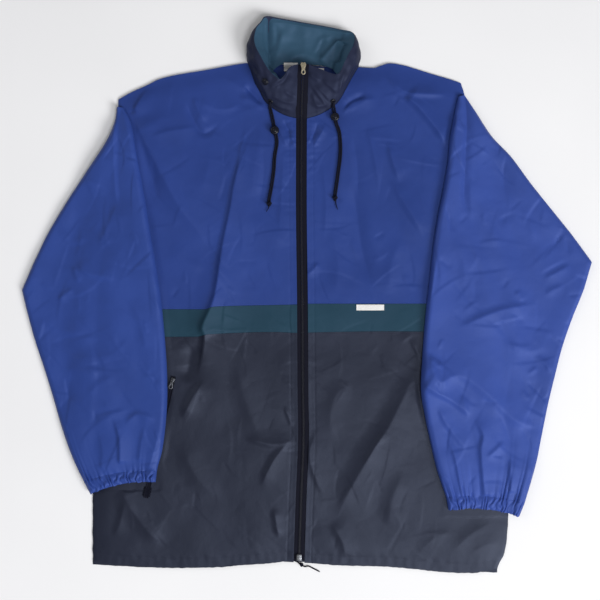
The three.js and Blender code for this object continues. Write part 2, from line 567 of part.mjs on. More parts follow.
// The height of the zip's cloth along its line: the front's face, then the collar's front.
function zipTop(v) {
  const start = COLLAR[0];
  if (v >= start.base[1]) return frontTop(read(ZIP_LINE, v), v);
  return collarPoint(start, clamp((start.base[1] - v) / (start.base[1] - start.rim[1]))).z;
}

// A strip along the zip's line between two distances from it.
function zipStrip(name, edges, rise, thick) {
  const grid = ZIP_LEVELS.map((v) => edges.map((d) =>
    vec(toX(read(ZIP_LINE, v) + d), toY(v), zipTop(v) + rise)));
  return piece(name, closedBetween(grid, raised(grid, -thick)), black);
}

// A pull tab: a rounded plate with a hole, drawn from its eye along -Y.
function tabGeometry({ width, length, thick, hole }) {
  const half = width / 2;
  const shape = new THREE.Shape();
  shape.moveTo(-half * 0.6, 0);
  shape.lineTo(-half, -length + half);
  shape.absarc(0, -length + half, half, Math.PI, 2 * Math.PI, false);
  shape.lineTo(half * 0.6, 0);
  shape.closePath();
  const opening = new THREE.Path();
  opening.absarc(0, -length + half, hole / 2, 0, 2 * Math.PI, true);
  shape.holes.push(opening);
  const geometry = new THREE.ExtrudeGeometry(shape, { depth: thick, bevelEnabled: false, curveSegments: 5 });
  return geometry.translate(0, 0, -thick / 2);
}

// A slider: a wedge-shaped body, wider at its mouth, with a raised bridge.
function sliderGeometry({ width, length, height }) {
  const half = width / 2;
  const shape = new THREE.Shape([
    new THREE.Vector2(-half * 0.55, -length / 2),
    new THREE.Vector2(half * 0.55, -length / 2),
    new THREE.Vector2(half, length * 0.2),
    new THREE.Vector2(half * 0.7, length / 2),
    new THREE.Vector2(-half * 0.7, length / 2),
    new THREE.Vector2(-half, length * 0.2),
  ]);
  return new THREE.ExtrudeGeometry(shape, {
    depth: height - 1, bevelEnabled: true, bevelThickness: 0.5, bevelSize: 0.5, bevelOffset: -0.5, bevelSegments: 1,
  }).translate(0, 0, 0.5);
}

function mainZip() {
  const height = zipTop(ZIP_SLIDER_AT) + CHAIN_RISE + GAP;
  const at = vec(toX(read(ZIP_LINE, ZIP_SLIDER_AT)), toY(ZIP_SLIDER_AT), height);
  const slider = piece("zip_slider", sliderGeometry(SLIDER), brass, at);
  const tab = piece("zip_tab", tabGeometry(TAB), brass,
    vec(at.x, at.y, at.z + SLIDER.height + TAB_SEAT));
  const { width, length, thick, above } = ZIP_BOX;
  const foot = ZIP_FOOT - above;
  const box = piece("zip_box", new THREE.BoxGeometry(width, length, thick), steel,
    vec(toX(read(ZIP_LINE, foot)), toY(foot), zipTop(foot) + CHAIN_RISE + GAP + thick / 2));
  const tape = (side) => {
    const edges = [CHAIN_HALF + TAPE_CLEAR, ZIP_HALF - TAPE_CLEAR].map((d) => d * sign[side]).sort((a, b) => a - b);
    return zipStrip(`zip_tape_${side}`, edges, -TAPE_DROP, TAPE_THICK);
  };
  const chain = zipStrip("zip_chain", [-CHAIN_HALF, CHAIN_HALF], CHAIN_RISE, CHAIN_THICK);
  return [tape("left"), tape("right"), chain, slider, tab, box];
}

// A pocket's zip lies on the front, with its slider at the top and a bar tack at the foot.
function pocket(side) {
  const { top, foot } = POCKET[side];
  const shares = [...Array(POCKET_SPANS + 1).keys()].map((i) => i / POCKET_SPANS);
  const [du, dv] = [foot[0] - top[0], foot[1] - top[1]];
  const length = Math.hypot(du, dv);
  const [nu, nv] = [-dv / length, du / length];
  const grid = shares.map((s) => [-1, 1].map((w) => {
    const p = [mix(top[0], foot[0], s) + w * nu * POCKET_HALF, mix(top[1], foot[1], s) + w * nv * POCKET_HALF];
    return place(p, frontTop(...p) + 2 * GAP);
  }));
  const strip = piece(`pocket_zip_${side}`, closedBetween(raised(grid, POCKET_RISE), grid), black);
  const heading = Math.atan2(-dv, du) + Math.PI / 2;
  const hold = new THREE.Group();
  const at = [0, 1].map((i) => mix(top[i], foot[i], POCKET_SLIDER_AT));
  hold.position.copy(place(at, frontTop(...at) + 3 * GAP + POCKET_RISE));
  hold.rotation.z = heading;
  hold.add(
    piece(`pocket_slider_${side}`, sliderGeometry(POCKET_SLIDER), steel),
    piece(`pocket_tab_${side}`, tabGeometry(TAB), steel, vec(0, 0, POCKET_SLIDER.height + TAB_SEAT)),
  );
  return [strip, hold];
}

// A cord's tube through points in millimetres.
function cordTube(name, points, diameter) {
  const path = new THREE.CatmullRomCurve3(points, false, "centripetal");
  const ring = new THREE.Shape([...Array(CORD_SIDES).keys()].map((i) => {
    const a = (2 * Math.PI * i) / CORD_SIDES;
    return new THREE.Vector2((Math.cos(a) * diameter) / 2, (Math.sin(a) * diameter) / 2);
  }));
  const steps = Math.max(2, Math.round(path.getLength() / (2.5 * diameter)));
  return piece(name, new THREE.ExtrudeGeometry(ring, { extrudePath: path, steps, bevelEnabled: false }), black);
}

// A stretch of drawcord lying on the front along a route in layout units.
const strandOn = (name, route) =>
  cordTube(name, route.map((p) => place(p, frontTop(...p) + CORD_LIFT + CORD_DIAMETER / 2)), CORD_DIAMETER);

// A round lock that squeezes the two strands, lying on its side on the front.
function lockGeometry() {
  const profile = [[0, -0.5], [0.72, -0.5], [0.95, -0.3], [1, 0], [0.95, 0.3], [0.72, 0.5], [0, 0.5]];
  return new THREE.LatheGeometry(
    profile.map(([r, z]) => new THREE.Vector2(r * LOCK_RADIUS, z * LOCK_HEIGHT)), 14).rotateX(Math.PI / 2);
}

function drawcord(side) {
  const { upper, lock, lower, knot, tail, eyelet } = CORDS[side];
  const onFront = (p, lift) => place(p, frontTop(...p) + lift);
  const { hole, rim, half, lift } = EYELET;
  const ring = new THREE.LatheGeometry(
    [[hole, -half], [rim, -half], [rim, half], [hole, half], [hole, -half]].map(([r, z]) => new THREE.Vector2(r, z)),
    16).rotateX(Math.PI / 2);
  const eye = seatOnCollar(piece(`cord_eyelet_${side}`, ring, black), ...eyelet, lift);
  return [
    ...["a", "b"].map((strand, i) => strandOn(`cord_${side}_upper_${strand}`, upper[i])),
    ...["a", "b"].map((strand, i) => strandOn(`cord_${side}_lower_${strand}`, lower[i])),
    piece(`cord_lock_${side}`, lockGeometry(), black, onFront(lock, CORD_LIFT + LOCK_HEIGHT / 2)),
    piece(`cord_knot_${side}`, new THREE.SphereGeometry(KNOT_RADIUS, 12, 8), black,
      onFront(knot, CORD_LIFT + KNOT_RADIUS)),
    strandOn(`cord_tail_${side}`, tail),
    eye,
  ];
}

function hemCord() {
  const points = HEM_CORD.map((p) => place(p, HEM_CORD_DIAMETER / 2 + FLOOR_CLEAR));
  return [
    cordTube("hem_cord", points, HEM_CORD_DIAMETER),
    piece("hem_knot", new THREE.SphereGeometry(HEM_KNOT_RADIUS, 10, 8), black,
      place(HEM_KNOT, HEM_KNOT_RADIUS + GAP)),
  ];
}

// Small sewn or pressed pieces that lie on the cloth.
function trims() {
  const label = (name, { across: [u0, u1], down: [v0, v1] }, height) => {
    const grid = [v1, mix(v0, v1, 0.5), v0].map((v) =>
      [u0, mix(u0, u1, 0.5), u1].map((u) => place([u, v], height(u, v))));
    return piece(name, closedBetween(raised(grid, LABEL_THICK), grid), white);
  };
  const onBack = () => WALL + GAP;
  const stud = new THREE.CylinderGeometry(SNAP.top, SNAP.foot, SNAP.height, 16).rotateX(Math.PI / 2);
  return [
    label("band_label", LABELS.band, (u, v) => frontTop(u, v) + 4 * GAP / 3),
    label("neck_label", LABELS.neck, onBack),
    label("hanger_loop", LABELS.loop, onBack),
    seatOnCollar(piece("collar_snap", stud, black), SNAP.station, SNAP.share, SNAP.lift),
  ];
}

const jacket = new THREE.Group();
jacket.add(
  ...backs(), ...fronts(), ...sleeves(), ...cuffs(), ...collar(), ...mainZip(),
  ...pocket("left"), ...pocket("right"), ...drawcord("left"), ...drawcord("right"), ...hemCord(), ...trims(),
);

export default jacket;
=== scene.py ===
"""A windbreaker jacket laid flat on its back, zipped, with its sleeves folded down beside the body.

Blender works in metres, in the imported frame: +Z up, +Y towards the collar. Outlines are points
of a layout grid with x to the right and y down. One step of it is UNIT millimetres, and heights
and widths of folds are millimetres too, until a mesh is made.
"""

from __future__ import annotations

import logging
import math
from dataclasses import dataclass
from enum import Enum
from typing import Callable, ClassVar, Sequence

import bmesh
import bpy
import numpy as np
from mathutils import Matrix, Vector


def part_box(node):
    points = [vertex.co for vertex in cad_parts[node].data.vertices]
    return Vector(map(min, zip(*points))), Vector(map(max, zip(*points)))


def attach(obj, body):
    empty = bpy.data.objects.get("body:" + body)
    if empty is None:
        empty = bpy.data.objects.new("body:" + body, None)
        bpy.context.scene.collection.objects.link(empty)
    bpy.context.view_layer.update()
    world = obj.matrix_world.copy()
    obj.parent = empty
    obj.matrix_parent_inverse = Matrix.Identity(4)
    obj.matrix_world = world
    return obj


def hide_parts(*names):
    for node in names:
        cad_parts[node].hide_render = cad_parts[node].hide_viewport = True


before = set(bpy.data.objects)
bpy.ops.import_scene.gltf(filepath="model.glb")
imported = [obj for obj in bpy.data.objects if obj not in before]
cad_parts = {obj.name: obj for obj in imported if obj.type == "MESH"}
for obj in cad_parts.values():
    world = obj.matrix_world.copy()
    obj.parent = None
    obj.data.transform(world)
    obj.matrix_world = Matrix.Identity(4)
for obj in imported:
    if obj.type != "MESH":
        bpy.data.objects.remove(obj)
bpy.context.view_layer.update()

LOG = logging.getLogger("jacket")
MM = 0.001
UNIT = 1.5
CENTRE = (307.0, 295.3)
BODY = "jacket"
# The cloth's thickness as it is drawn, a CAD wall, the gap between two walls, and both walls of
# the body with their gap, in millimetres.
CLOTH = 0.8
WALL = 1.5
GAP = 0.3
BODY_BASE = WALL + GAP + WALL
# The front's loft above that, and how far from its edges it is reached.
BODY_LOFT = 3.4
EDGE_ROLL = 18.0
# Where a sleeve's drape to the floor starts outside the body and how far it runs, how far a
# sleeve lies above the front and does so at its shoulder, and the radius of its folds.
DRAPE_START = 10.0
DRAPE_RUN = 42.0
SLEEVE_CLEAR = 1.9
WEDGE_CLEAR = 0.9
FOLD_ROUND = 9.0
# Half the zip strip and half a seam's gap, in layout steps.
ZIP_HALF = 5.4
SEAM = GAP / UNIT / 2
# The middle of the collar's ring, in millimetres, which its outer face looks away from.
NECK_MIDDLE = (0.0, 365.0, 10.0)
# How far the sides and the hem wander, in layout steps.
SIDE_WANDER = 0.45
HEM_WANDER = 0.4
# The bunched cloth under the right forearm: its layout point, and its height and width in
# millimetres.
BUNCH_AT = (431.5, 382.0)
BUNCH_HEIGHT = 6.0
BUNCH_WIDTH = 34.0

Points = Sequence[Sequence[float]]
Grid = np.ndarray


class Side(Enum):
    """The jacket's left or right, as seen from above with the collar up."""

    LEFT = -1
    RIGHT = 1

    @property
    def word(self) -> str:
        """The side's name in a piece's name."""
        return self.name.lower()


# Seams and edges as layout points: shoulders, sides and necklines by side, then the hem, the
# band's two seams and the zip. SIDE_EDGE and ZIP_LINE give x at y, and the others give y at x.
SHOULDER = {
    Side.LEFT: [[118.8, 99.8], [133, 92], [147, 85.8], [160, 79.5], [177, 75.3], [188, 73.4],
                [199, 71.7], [212, 69.4], [225, 67], [236, 65], [247.3, 63.3]],
    Side.RIGHT: [[358.5, 67.5], [366, 68.2], [373.6, 68.4], [381, 66], [389.6, 63.8], [404, 66],
                 [415, 69.2], [427, 73], [438, 76.3], [450, 79.8], [460.8, 83.4]],
}
NECKLINE = {
    Side.LEFT: [[247.3, 63.3], [250.8, 72], [255, 84], [259.4, 91.8], [263.6, 100.3],
                [269.3, 106.4], [278, 112.6], [287.5, 116.9], [296.1, 119]],
    Side.RIGHT: [[306.9, 119.3], [317.6, 116], [326.3, 111.7], [333, 107.4], [339, 101.5],
                 [344.5, 92.5], [350, 82], [354.5, 74], [358.5, 67.5]],
}
BACK_NECKLINE = [[247.3, 63.3], [262, 64], [285, 64.6], [303, 65.4], [325, 66.6], [345, 67.4],
                 [358.5, 67.5]]
SIDE_EDGE = {
    Side.LEFT: [[99.8, 118.8], [108, 117.6], [131, 114], [150, 112], [180, 111], [215, 109],
                [250, 103], [285, 97], [350, 95], [430, 93.5], [493, 93], [560.5, 93]],
    Side.RIGHT: [[83.4, 460.8], [95, 463.9], [120, 467], [150, 467.5], [180, 469], [215, 474],
                 [250, 486], [285, 500], [350, 504], [430, 507], [517, 508], [548, 505.5],
                 [568, 497]],
}
HEM = [[93, 560.5], [121, 564.4], [144, 566], [170, 567.4], [221, 566.6], [240, 564.7],
       [274, 562.4], [280, 561], [296, 561.8], [309, 562.4], [338, 564.7], [382.5, 566],
       [409, 568], [451, 572], [472, 572.5], [486, 570], [497, 568], [508, 566]]
BAND_TOP = [[93, 308.8], [204, 309.3], [215, 306.6], [297, 304.4], [306, 303.7], [508, 303.7]]
BAND_FOOT = [[93, 337], [197, 336.6], [208.6, 334.2], [275, 332], [297, 332.8], [320, 332.2],
             [382, 331.3], [508, 332.4]]
ZIP_LINE = [[67, 303.4], [119, 301.5], [200, 301.3], [300, 302.4], [400, 303], [430, 303.5],
            [500, 301], [560, 299]]
ZIP_FOOT = 559.5

# The sleeves' folded edges from shoulder to cuff: outer x, y, inner x, y, loft and bow.
SLEEVE = {
    Side.LEFT: [
        [117.4, 108, 124.5, 108.5, 2.5, 0], [114.6, 124, 132, 124, 5, 0],
        [105, 145, 137, 151, 7, 0], [86, 173, 142, 177, 7.5, 0], [67, 202, 147, 205, 7.5, 0],
        [48.5, 233, 151.5, 234, 7, 0], [34, 262.5, 156.5, 263, 6.5, 0],
        [22.2, 290, 160.8, 290, 6.5, 0], [26.5, 309, 163, 310, 6.5, 0],
        [34.5, 338, 165.5, 338, 6.5, 0], [44, 367, 167.5, 367, 6.5, 0],
        [53, 396, 168, 396, 6, 0], [61, 424, 166.3, 424, 6, 0.5], [70, 450, 163, 449, 6, 2],
        [79, 470, 159, 464, 5.5, 3.5], [84.5, 480.8, 157.6, 470.3, 5, 4]],
    Side.RIGHT: [
        [464.3, 96, 457.5, 97.5, 2.5, 0], [475, 112, 453.5, 115, 5, 0],
        [491, 136, 449, 140, 6.5, 0], [511, 157, 447, 163, 7, 0],
        [531, 184, 442.5, 190, 7, 0], [551, 209, 437, 217, 6.5, 0],
        [572, 235, 432.5, 246, 6.5, 0], [591.8, 262, 429, 278, 6.5, 0],
        [584, 289, 426, 304, 6.5, 0], [573, 316, 423.5, 330, 6.5, 0],
        [562.5, 346, 421.5, 359, 6.5, 0], [555, 375, 420, 388, 6, 0],
        [548, 404, 423.5, 412, 6, 0], [541.5, 436, 430, 443, 6, 1],
        [535.5, 465, 436.5, 470, 6, 2.5], [524.3, 502.3, 445.5, 496.3, 5, 4.5]],
}
CUFF_END = {
    Side.LEFT: [91, 493.6, 156.4, 481.3, 5, 4.5],
    Side.RIGHT: [518.5, 516, 447.6, 508.8, 5, 4.5],
}


def mix(a: Grid, b: Grid, t: Grid) -> Grid:
    """The value between a and b at share t."""
    return a + (b - a) * t


def smooth(t: Grid) -> Grid:
    """A share that starts and ends level, held between 0 and 1."""
    t = np.clip(t, 0, 1)
    return t * t * (3 - 2 * t)


def read(table: Points, at: Grid) -> Grid:
    """Reads a table of [at, value] rows along a smooth line through them.

    Args:
        table: rows in rising order of their first number.
        at: where to read.

    Returns:
        The values, level beyond both ends.
    """
    x, y = np.asarray(table, float).T
    secant = np.diff(y) / np.diff(x)
    same = secant[:-1] * secant[1:] > 0
    total = np.where(same, secant[:-1] + secant[1:], 1)
    slope = np.concatenate([secant[:1], np.where(same, 2 * secant[:-1] * secant[1:] / total, 0),
                            secant[-1:]])
    at = np.clip(at, x[0], x[-1])
    i = np.clip(np.searchsorted(x, at) - 1, 0, len(x) - 2)
    run = x[i + 1] - x[i]
    t = (at - x[i]) / run
    return (y[i] * (1 + 2 * t) * (1 - t) ** 2 + y[i + 1] * t * t * (3 - 2 * t)
            + run * (slope[i] * t * (1 - t) ** 2 + slope[i + 1] * t * t * (t - 1)))


def spline(points: Points, at: Grid) -> Grid:
    """A smooth line through points.

    Args:
        points: the points that it passes through, of any number of components.
        at: places along it, where each point is one whole number.

    Returns:
        One row for each place.
    """
    p = np.asarray(points, float)
    p = np.vstack([2 * p[0] - p[1], p, 2 * p[-1] - p[-2]])
    at = np.clip(at, 0, len(p) - 3)
    i = np.minimum(at.astype(int), len(p) - 4)
    t = (at - i)[..., None]
    a, b, c, d = p[i], p[i + 1], p[i + 2], p[i + 3]
    return 0.5 * (2 * b + (c - a) * t + (2 * a - 5 * b + 4 * c - d) * t ** 2
                  + (3 * b - a - 3 * c + d) * t ** 3)


def place(u: Grid, v: Grid, z: Grid) -> Grid:
    """Points in millimetres above layout points."""
    u, v, z = np.broadcast_arrays(u, v, z)
    return np.stack([(u - CENTRE[0]) * UNIT, (CENTRE[1] - v) * UNIT, z], axis=-1)


def crumple(x: Grid, y: Grid, cell: float, seed: int) -> Grid:
    """Smooth seeded unevenness.

    Args:
        x: places across, in the same unit as cell.
        y: places along.
        cell: the size of one bump.
        seed: which pattern.

    Returns:
        Values from about -1 to 1.
    """
    turn = np.random.default_rng(seed).uniform(0, 2 * math.pi, (64, 64))
    gx, gy = np.cos(turn), np.sin(turn)
    x, y = x / cell, y / cell
    i, j = np.floor(x).astype(int), np.floor(y).astype(int)
    fx, fy = x - i, y - j

    def corner(di: int, dj: int) -> Grid:
        """The pull of one lattice corner."""
        a, b = (i + di) % 64, (j + dj) % 64
        return gx[a, b] * (fx - di) + gy[a, b] * (fy - dj)

    sx, sy = (f ** 3 * (f * (f * 6 - 15) + 10) for f in (fx, fy))
    return 1.5 * mix(mix(corner(0, 0), corner(1, 0), sx), mix(corner(0, 1), corner(1, 1), sx), sy)


@dataclass(frozen=True)
class Crease:
    """A fold of the cloth: a soft ridge, or a trough where its height is below 0.

    Its route is layout points. west and east are how wide it is on either side, edge is the
    roundness of its crest, and fade the shares of its length over which its ends run out. A wide
    side spreads by WIDE_SPREAD and a narrow one by NARROW_SPREAD, and neither is broader than
    LONGEST of the crease's length.
    """

    WIDE_SPREAD: ClassVar[float] = 2.5
    NARROW_SPREAD: ClassVar[float] = 1.7
    WIDE_FROM: ClassVar[float] = 7.0
    LONGEST: ClassVar[float] = 0.4

    route: tuple[tuple[float, float], ...]
    height: float
    west: float
    east: float
    edge: float = 1.5
    fade: tuple[float, float] = (0.3, 0.3)

    def lift(self, u: Grid, v: Grid) -> Grid:
        """How far it lifts the cloth.

        Args:
            u: layout places to the right.
            v: layout places down.

        Returns:
            Millimetres, with its ends faded out.
        """
        knots = np.linspace(0, len(self.route) - 1, 5 * (len(self.route) - 1) + 1)
        line = spline(self.route, knots)
        reach = 2.6 * max(self.west, self.east) / UNIT
        near = ((u > line[:, 0].min() - reach) & (u < line[:, 0].max() + reach)
                & (v > line[:, 1].min() - reach) & (v < line[:, 1].max() + reach))
        out = np.zeros(np.broadcast(u, v).shape)
        if not near.any():
            return out
        p = np.stack([np.broadcast_to(u, out.shape)[near], np.broadcast_to(v, out.shape)[near]], -1)
        chord = line[-1] - line[0]
        flip = -1.0 if chord[1] > 0 or (chord[1] == 0 and chord[0] > 0) else 1.0
        best = np.full(len(p), np.inf)
        signed = np.zeros(len(p))
        along = np.zeros(len(p))
        steps = np.linalg.norm(np.diff(line, axis=0), axis=1)
        done = np.concatenate([[0], np.cumsum(steps)]) / steps.sum()
        for k, (a, b) in enumerate(zip(line[:-1], line[1:])):
            run = b - a
            t = np.clip((p - a) @ run / (run @ run), 0, 1)
            off = p - a - t[:, None] * run
            d = np.hypot(off[:, 0], off[:, 1])
            take = d < best
            side = np.sign(off[:, 1] * run[0] - off[:, 0] * run[1])
            best = np.where(take, d, best)
            signed = np.where(take, d * side * flip, signed)
            along = np.where(take, mix(done[k], done[k + 1], t), along)
        start, end = (max(f, 1e-6) for f in self.fade)
        fade = smooth(along / start) * smooth((1 - along) / end)
        d = best * UNIT
        most = self.LONGEST * steps.sum() * UNIT
        east, west = (min(side * (self.WIDE_SPREAD if side > self.WIDE_FROM else self.NARROW_SPREAD),
                          most) for side in (self.east, self.west))
        width = np.where(signed > 0, east, west) * (0.7 + 0.3 * fade)
        fall = np.clip(1 - (np.sqrt(d * d + self.edge ** 2) - self.edge) / width, 0, 1) ** 2
        out[near] = self.height * fall * fade
        return out


def all_lifts(folds: Sequence[Crease], u: Grid, v: Grid) -> Grid:
    """The sum of several creases' lifts."""
    return sum((crease.lift(u, v) for crease in folds), np.zeros(np.broadcast(u, v).shape))


def creases(*rows: tuple) -> tuple[Crease, ...]:
    """Creases from rows of a route, a height and the widths west and east, then edge and fade."""
    return tuple(Crease(*row) for row in rows)


def scatter(count: int, box: tuple[float, float, float, float], height: float,
            seed: int) -> tuple[Crease, ...]:
    """Small uneven creases spread over a part of the layout.

    Args:
        count: how many.
        box: the least x and y and the greatest x and y of their middles.
        height: the tallest, in millimetres; about half of them are troughs.
        seed: which pattern.

    Returns:
        The creases.
    """
    rng = np.random.default_rng(seed)
    made = []
    for _ in range(count):
        middle = rng.uniform(box[:2], box[2:])
        angle = rng.normal(1.15, 0.9)
        run = np.array([math.cos(angle), math.sin(angle)])
        side = np.array([-run[1], run[0]])
        length = rng.uniform(6, 30)
        bend = side * rng.normal(0, 0.14) * length
        route = tuple(tuple(middle + run * length * s + bend * (1 - s * s)) for s in (-1, -0.4, 0.3, 1))
        west, east = rng.permutation((rng.uniform(1.4, 3), rng.uniform(7, 16)))
        rise = height * rng.uniform(0.3, 1) * rng.choice((-1, 1))
        made.append(Crease(route, rise, west, east, rng.uniform(0.3, 1.2), (0.35, 0.35)))
    return tuple(made)


BODY_CREASES = creases(
    # left chest: the long fold from the chest to below the band, and the valley beside the sleeve
    (((257, 126), (246, 150), (236, 178), (230.6, 210), (222.8, 247.5), (215, 297.5), (203, 325.6),
      (205, 336), (201.7, 361), (196, 382)), 5.0, 5.5, 30, 0.5, (0.35, 0.15)),
    (((227, 232), (221, 262), (215, 294), (204, 326), (205, 342)), 5.6, 14, 34, 0.8, (0.5, 0.15)),
    (((133.8, 119.4), (150, 150), (166, 181), (182, 210), (199, 232), (212, 258)), 6.6, 13, 34, 1.2,
     (0.1, 0.4)),
    (((135, 120), (143, 146), (152, 176), (160, 204)), -4.6, 9, 9, 3, (0.2, 0.3)),
    (((186, 100), (192, 116), (200, 131), (208, 133), (221, 124)), -2.6, 6, 5, 1),
    (((193, 96), (199, 112), (207, 124)), 1.8, 4, 12, 0.8),
    (((150, 139), (166, 133), (182, 130), (198, 128)), 1.6, 5, 12, 1),
    (((200, 100), (212, 108), (226, 110), (243, 104)), 1.5, 5, 12, 1),
    (((244, 86), (253, 95), (264, 106)), -3.6, 5, 6, 0.8),
    (((238, 98), (250, 101), (265, 110)), 2.0, 6, 8, 0.8),
    (((342, 110), (351, 102), (366, 95)), -3.2, 5, 6, 0.8),
    (((226, 78), (240, 88), (252, 92)), 1.6, 5, 10, 1),
    (((132, 117), (137, 107), (145, 93), (154, 82)), 4, 4, 14, 0.7),
    (((128, 112), (132, 112.4), (137, 111)), -1.8, 4, 4, 1),
    (((213, 150), (206, 176), (202, 196)), 1.4, 8, 14, 3),
    (((250, 214), (268, 232), (290, 246)), 1.5, 8, 12, 3),
    (((170, 244), (186, 262), (210, 270)), 1.8, 8, 12, 3),
    (((262, 128), (256, 160), (252, 200)), 1.6, 8, 14, 3),
    (((248, 126), (241, 152), (235, 192)), 1.5, 4, 12, 0.8),
    (((262, 140), (264, 172), (259, 208)), -1.2, 5, 9, 1.0),
    (((284, 150), (282, 190), (279, 236)), 1.1, 5, 12, 1.0),
    # right chest
    (((352, 132), (357, 166), (358, 200)), -1.6, 6, 9, 1.0),
    (((366, 124), (373, 152), (379, 188)), 1.5, 5, 12, 0.8),
    (((322, 160), (326, 200), (324, 244)), 1.1, 5, 12, 1.0),
    (((384, 72.5), (393.8, 85), (404, 92), (416, 94.6), (450, 95)), 3.6, 5, 10, 1.2),
    (((404, 96), (414, 104), (426, 117), (438, 132), (448, 150)), 5.4, 6, 14, 1.4, (0.12, 0.3)),
    (((341.7, 116.7), (351.7, 104), (364, 101), (378, 100)), 2.6, 6, 9, 1.2),
    (((350, 179), (356, 210), (362.5, 254), (373.4, 290)), -3.6, 13, 9, 2.4),
    (((387.5, 141), (392, 160), (400, 184)), 2.6, 5, 13, 1.4),
    (((390, 180), (403, 201), (425, 236)), 2.8, 6, 14, 1.6),
    (((306, 275.6), (313, 270), (319, 262)), 1.8, 5, 7, 1),
    (((330, 226), (338, 262), (336, 296)), 1.6, 8, 14, 3),
    (((404, 236), (392, 262), (388, 296)), 1.9, 8, 14, 3),
    # under the collar and along the zip
    (((283, 120), (287, 128), (292, 140)), -2.2, 4, 4, 0.8),
    (((276, 124), (281, 134), (288, 148)), 1.6, 4, 6, 0.8),
    (((289, 131), (292, 139), (294.4, 148)), 1.3, 3, 4, 0.8),
    (((318, 123), (315, 132), (310, 144)), -2.2, 4, 4, 0.8),
    (((326, 124), (320, 136), (312, 150)), 1.6, 4, 6, 0.8),
    (((312, 134), (310, 139), (307.6, 144)), 1.3, 3, 4, 0.8),
    # lower left
    (((205, 378), (199, 388), (192.6, 397), (182, 420)), 3.4, 7, 22, 1.2),
    (((192, 342), (190, 362), (186, 384)), -3.2, 12, 10, 3),
    (((121, 486), (132, 508), (151.7, 533), (168, 543)), 2.8, 9, 18, 1.4, (0.15, 0.3)),
    (((126.7, 496.7), (119.7, 524.4), (112.8, 538.3)), 1.7, 6, 12, 1.2),
    (((291, 439), (276.7, 455), (268, 470), (261, 488)), 2.4, 6, 16, 1.0),
    (((284, 405), (288, 415), (293, 428)), 1.0, 3, 6, 0.6),
    (((243.3, 437), (258, 441), (274, 444), (296, 439.7)), 2.3, 6, 9, 1.4),
    (((274, 506), (276, 520), (279.4, 538)), 2.2, 5, 9, 1.4),
    (((236, 356), (246, 400), (262, 440)), 1.8, 9, 16, 4),
    (((180, 440), (196, 474), (220, 500)), 1.8, 8, 16, 3),
    # lower right
    (((418, 366), (400, 403.5), (388, 427), (373.5, 448), (350, 489), (335, 520)), 3.9, 11, 28, 1.4,
     (0.2, 0.25)),
    (((386, 428), (374, 447), (362, 467)), 1.7, 5, 14, 0.8),
    (((409, 338), (416, 350), (424, 366)), 1.4, 3, 8, 0.8),
    (((353, 383), (337, 394), (330, 420), (338, 442)), 1.5, 9, 15, 2),
    (((318, 429), (309.6, 453.5), (317.6, 483), (327, 496)), 1.6, 5, 13, 1.2),
    (((414, 558), (427, 543), (438, 535), (456, 529)), 1.1, 9, 15, 0.8, (0.4, 0.4)),
    (((446, 558), (464, 539), (478, 529), (498, 519)), 1.5, 10, 17, 0.8, (0.4, 0.4)),
    (((464, 559), (480, 547), (502, 538)), 0.9, 8, 12, 0.8, (0.4, 0.4)),
    (((330, 520), (342, 540), (346, 560)), 1.8, 6, 10, 2),
    (((404, 470), (392, 500), (388, 530)), 1.9, 8, 14, 3),
)
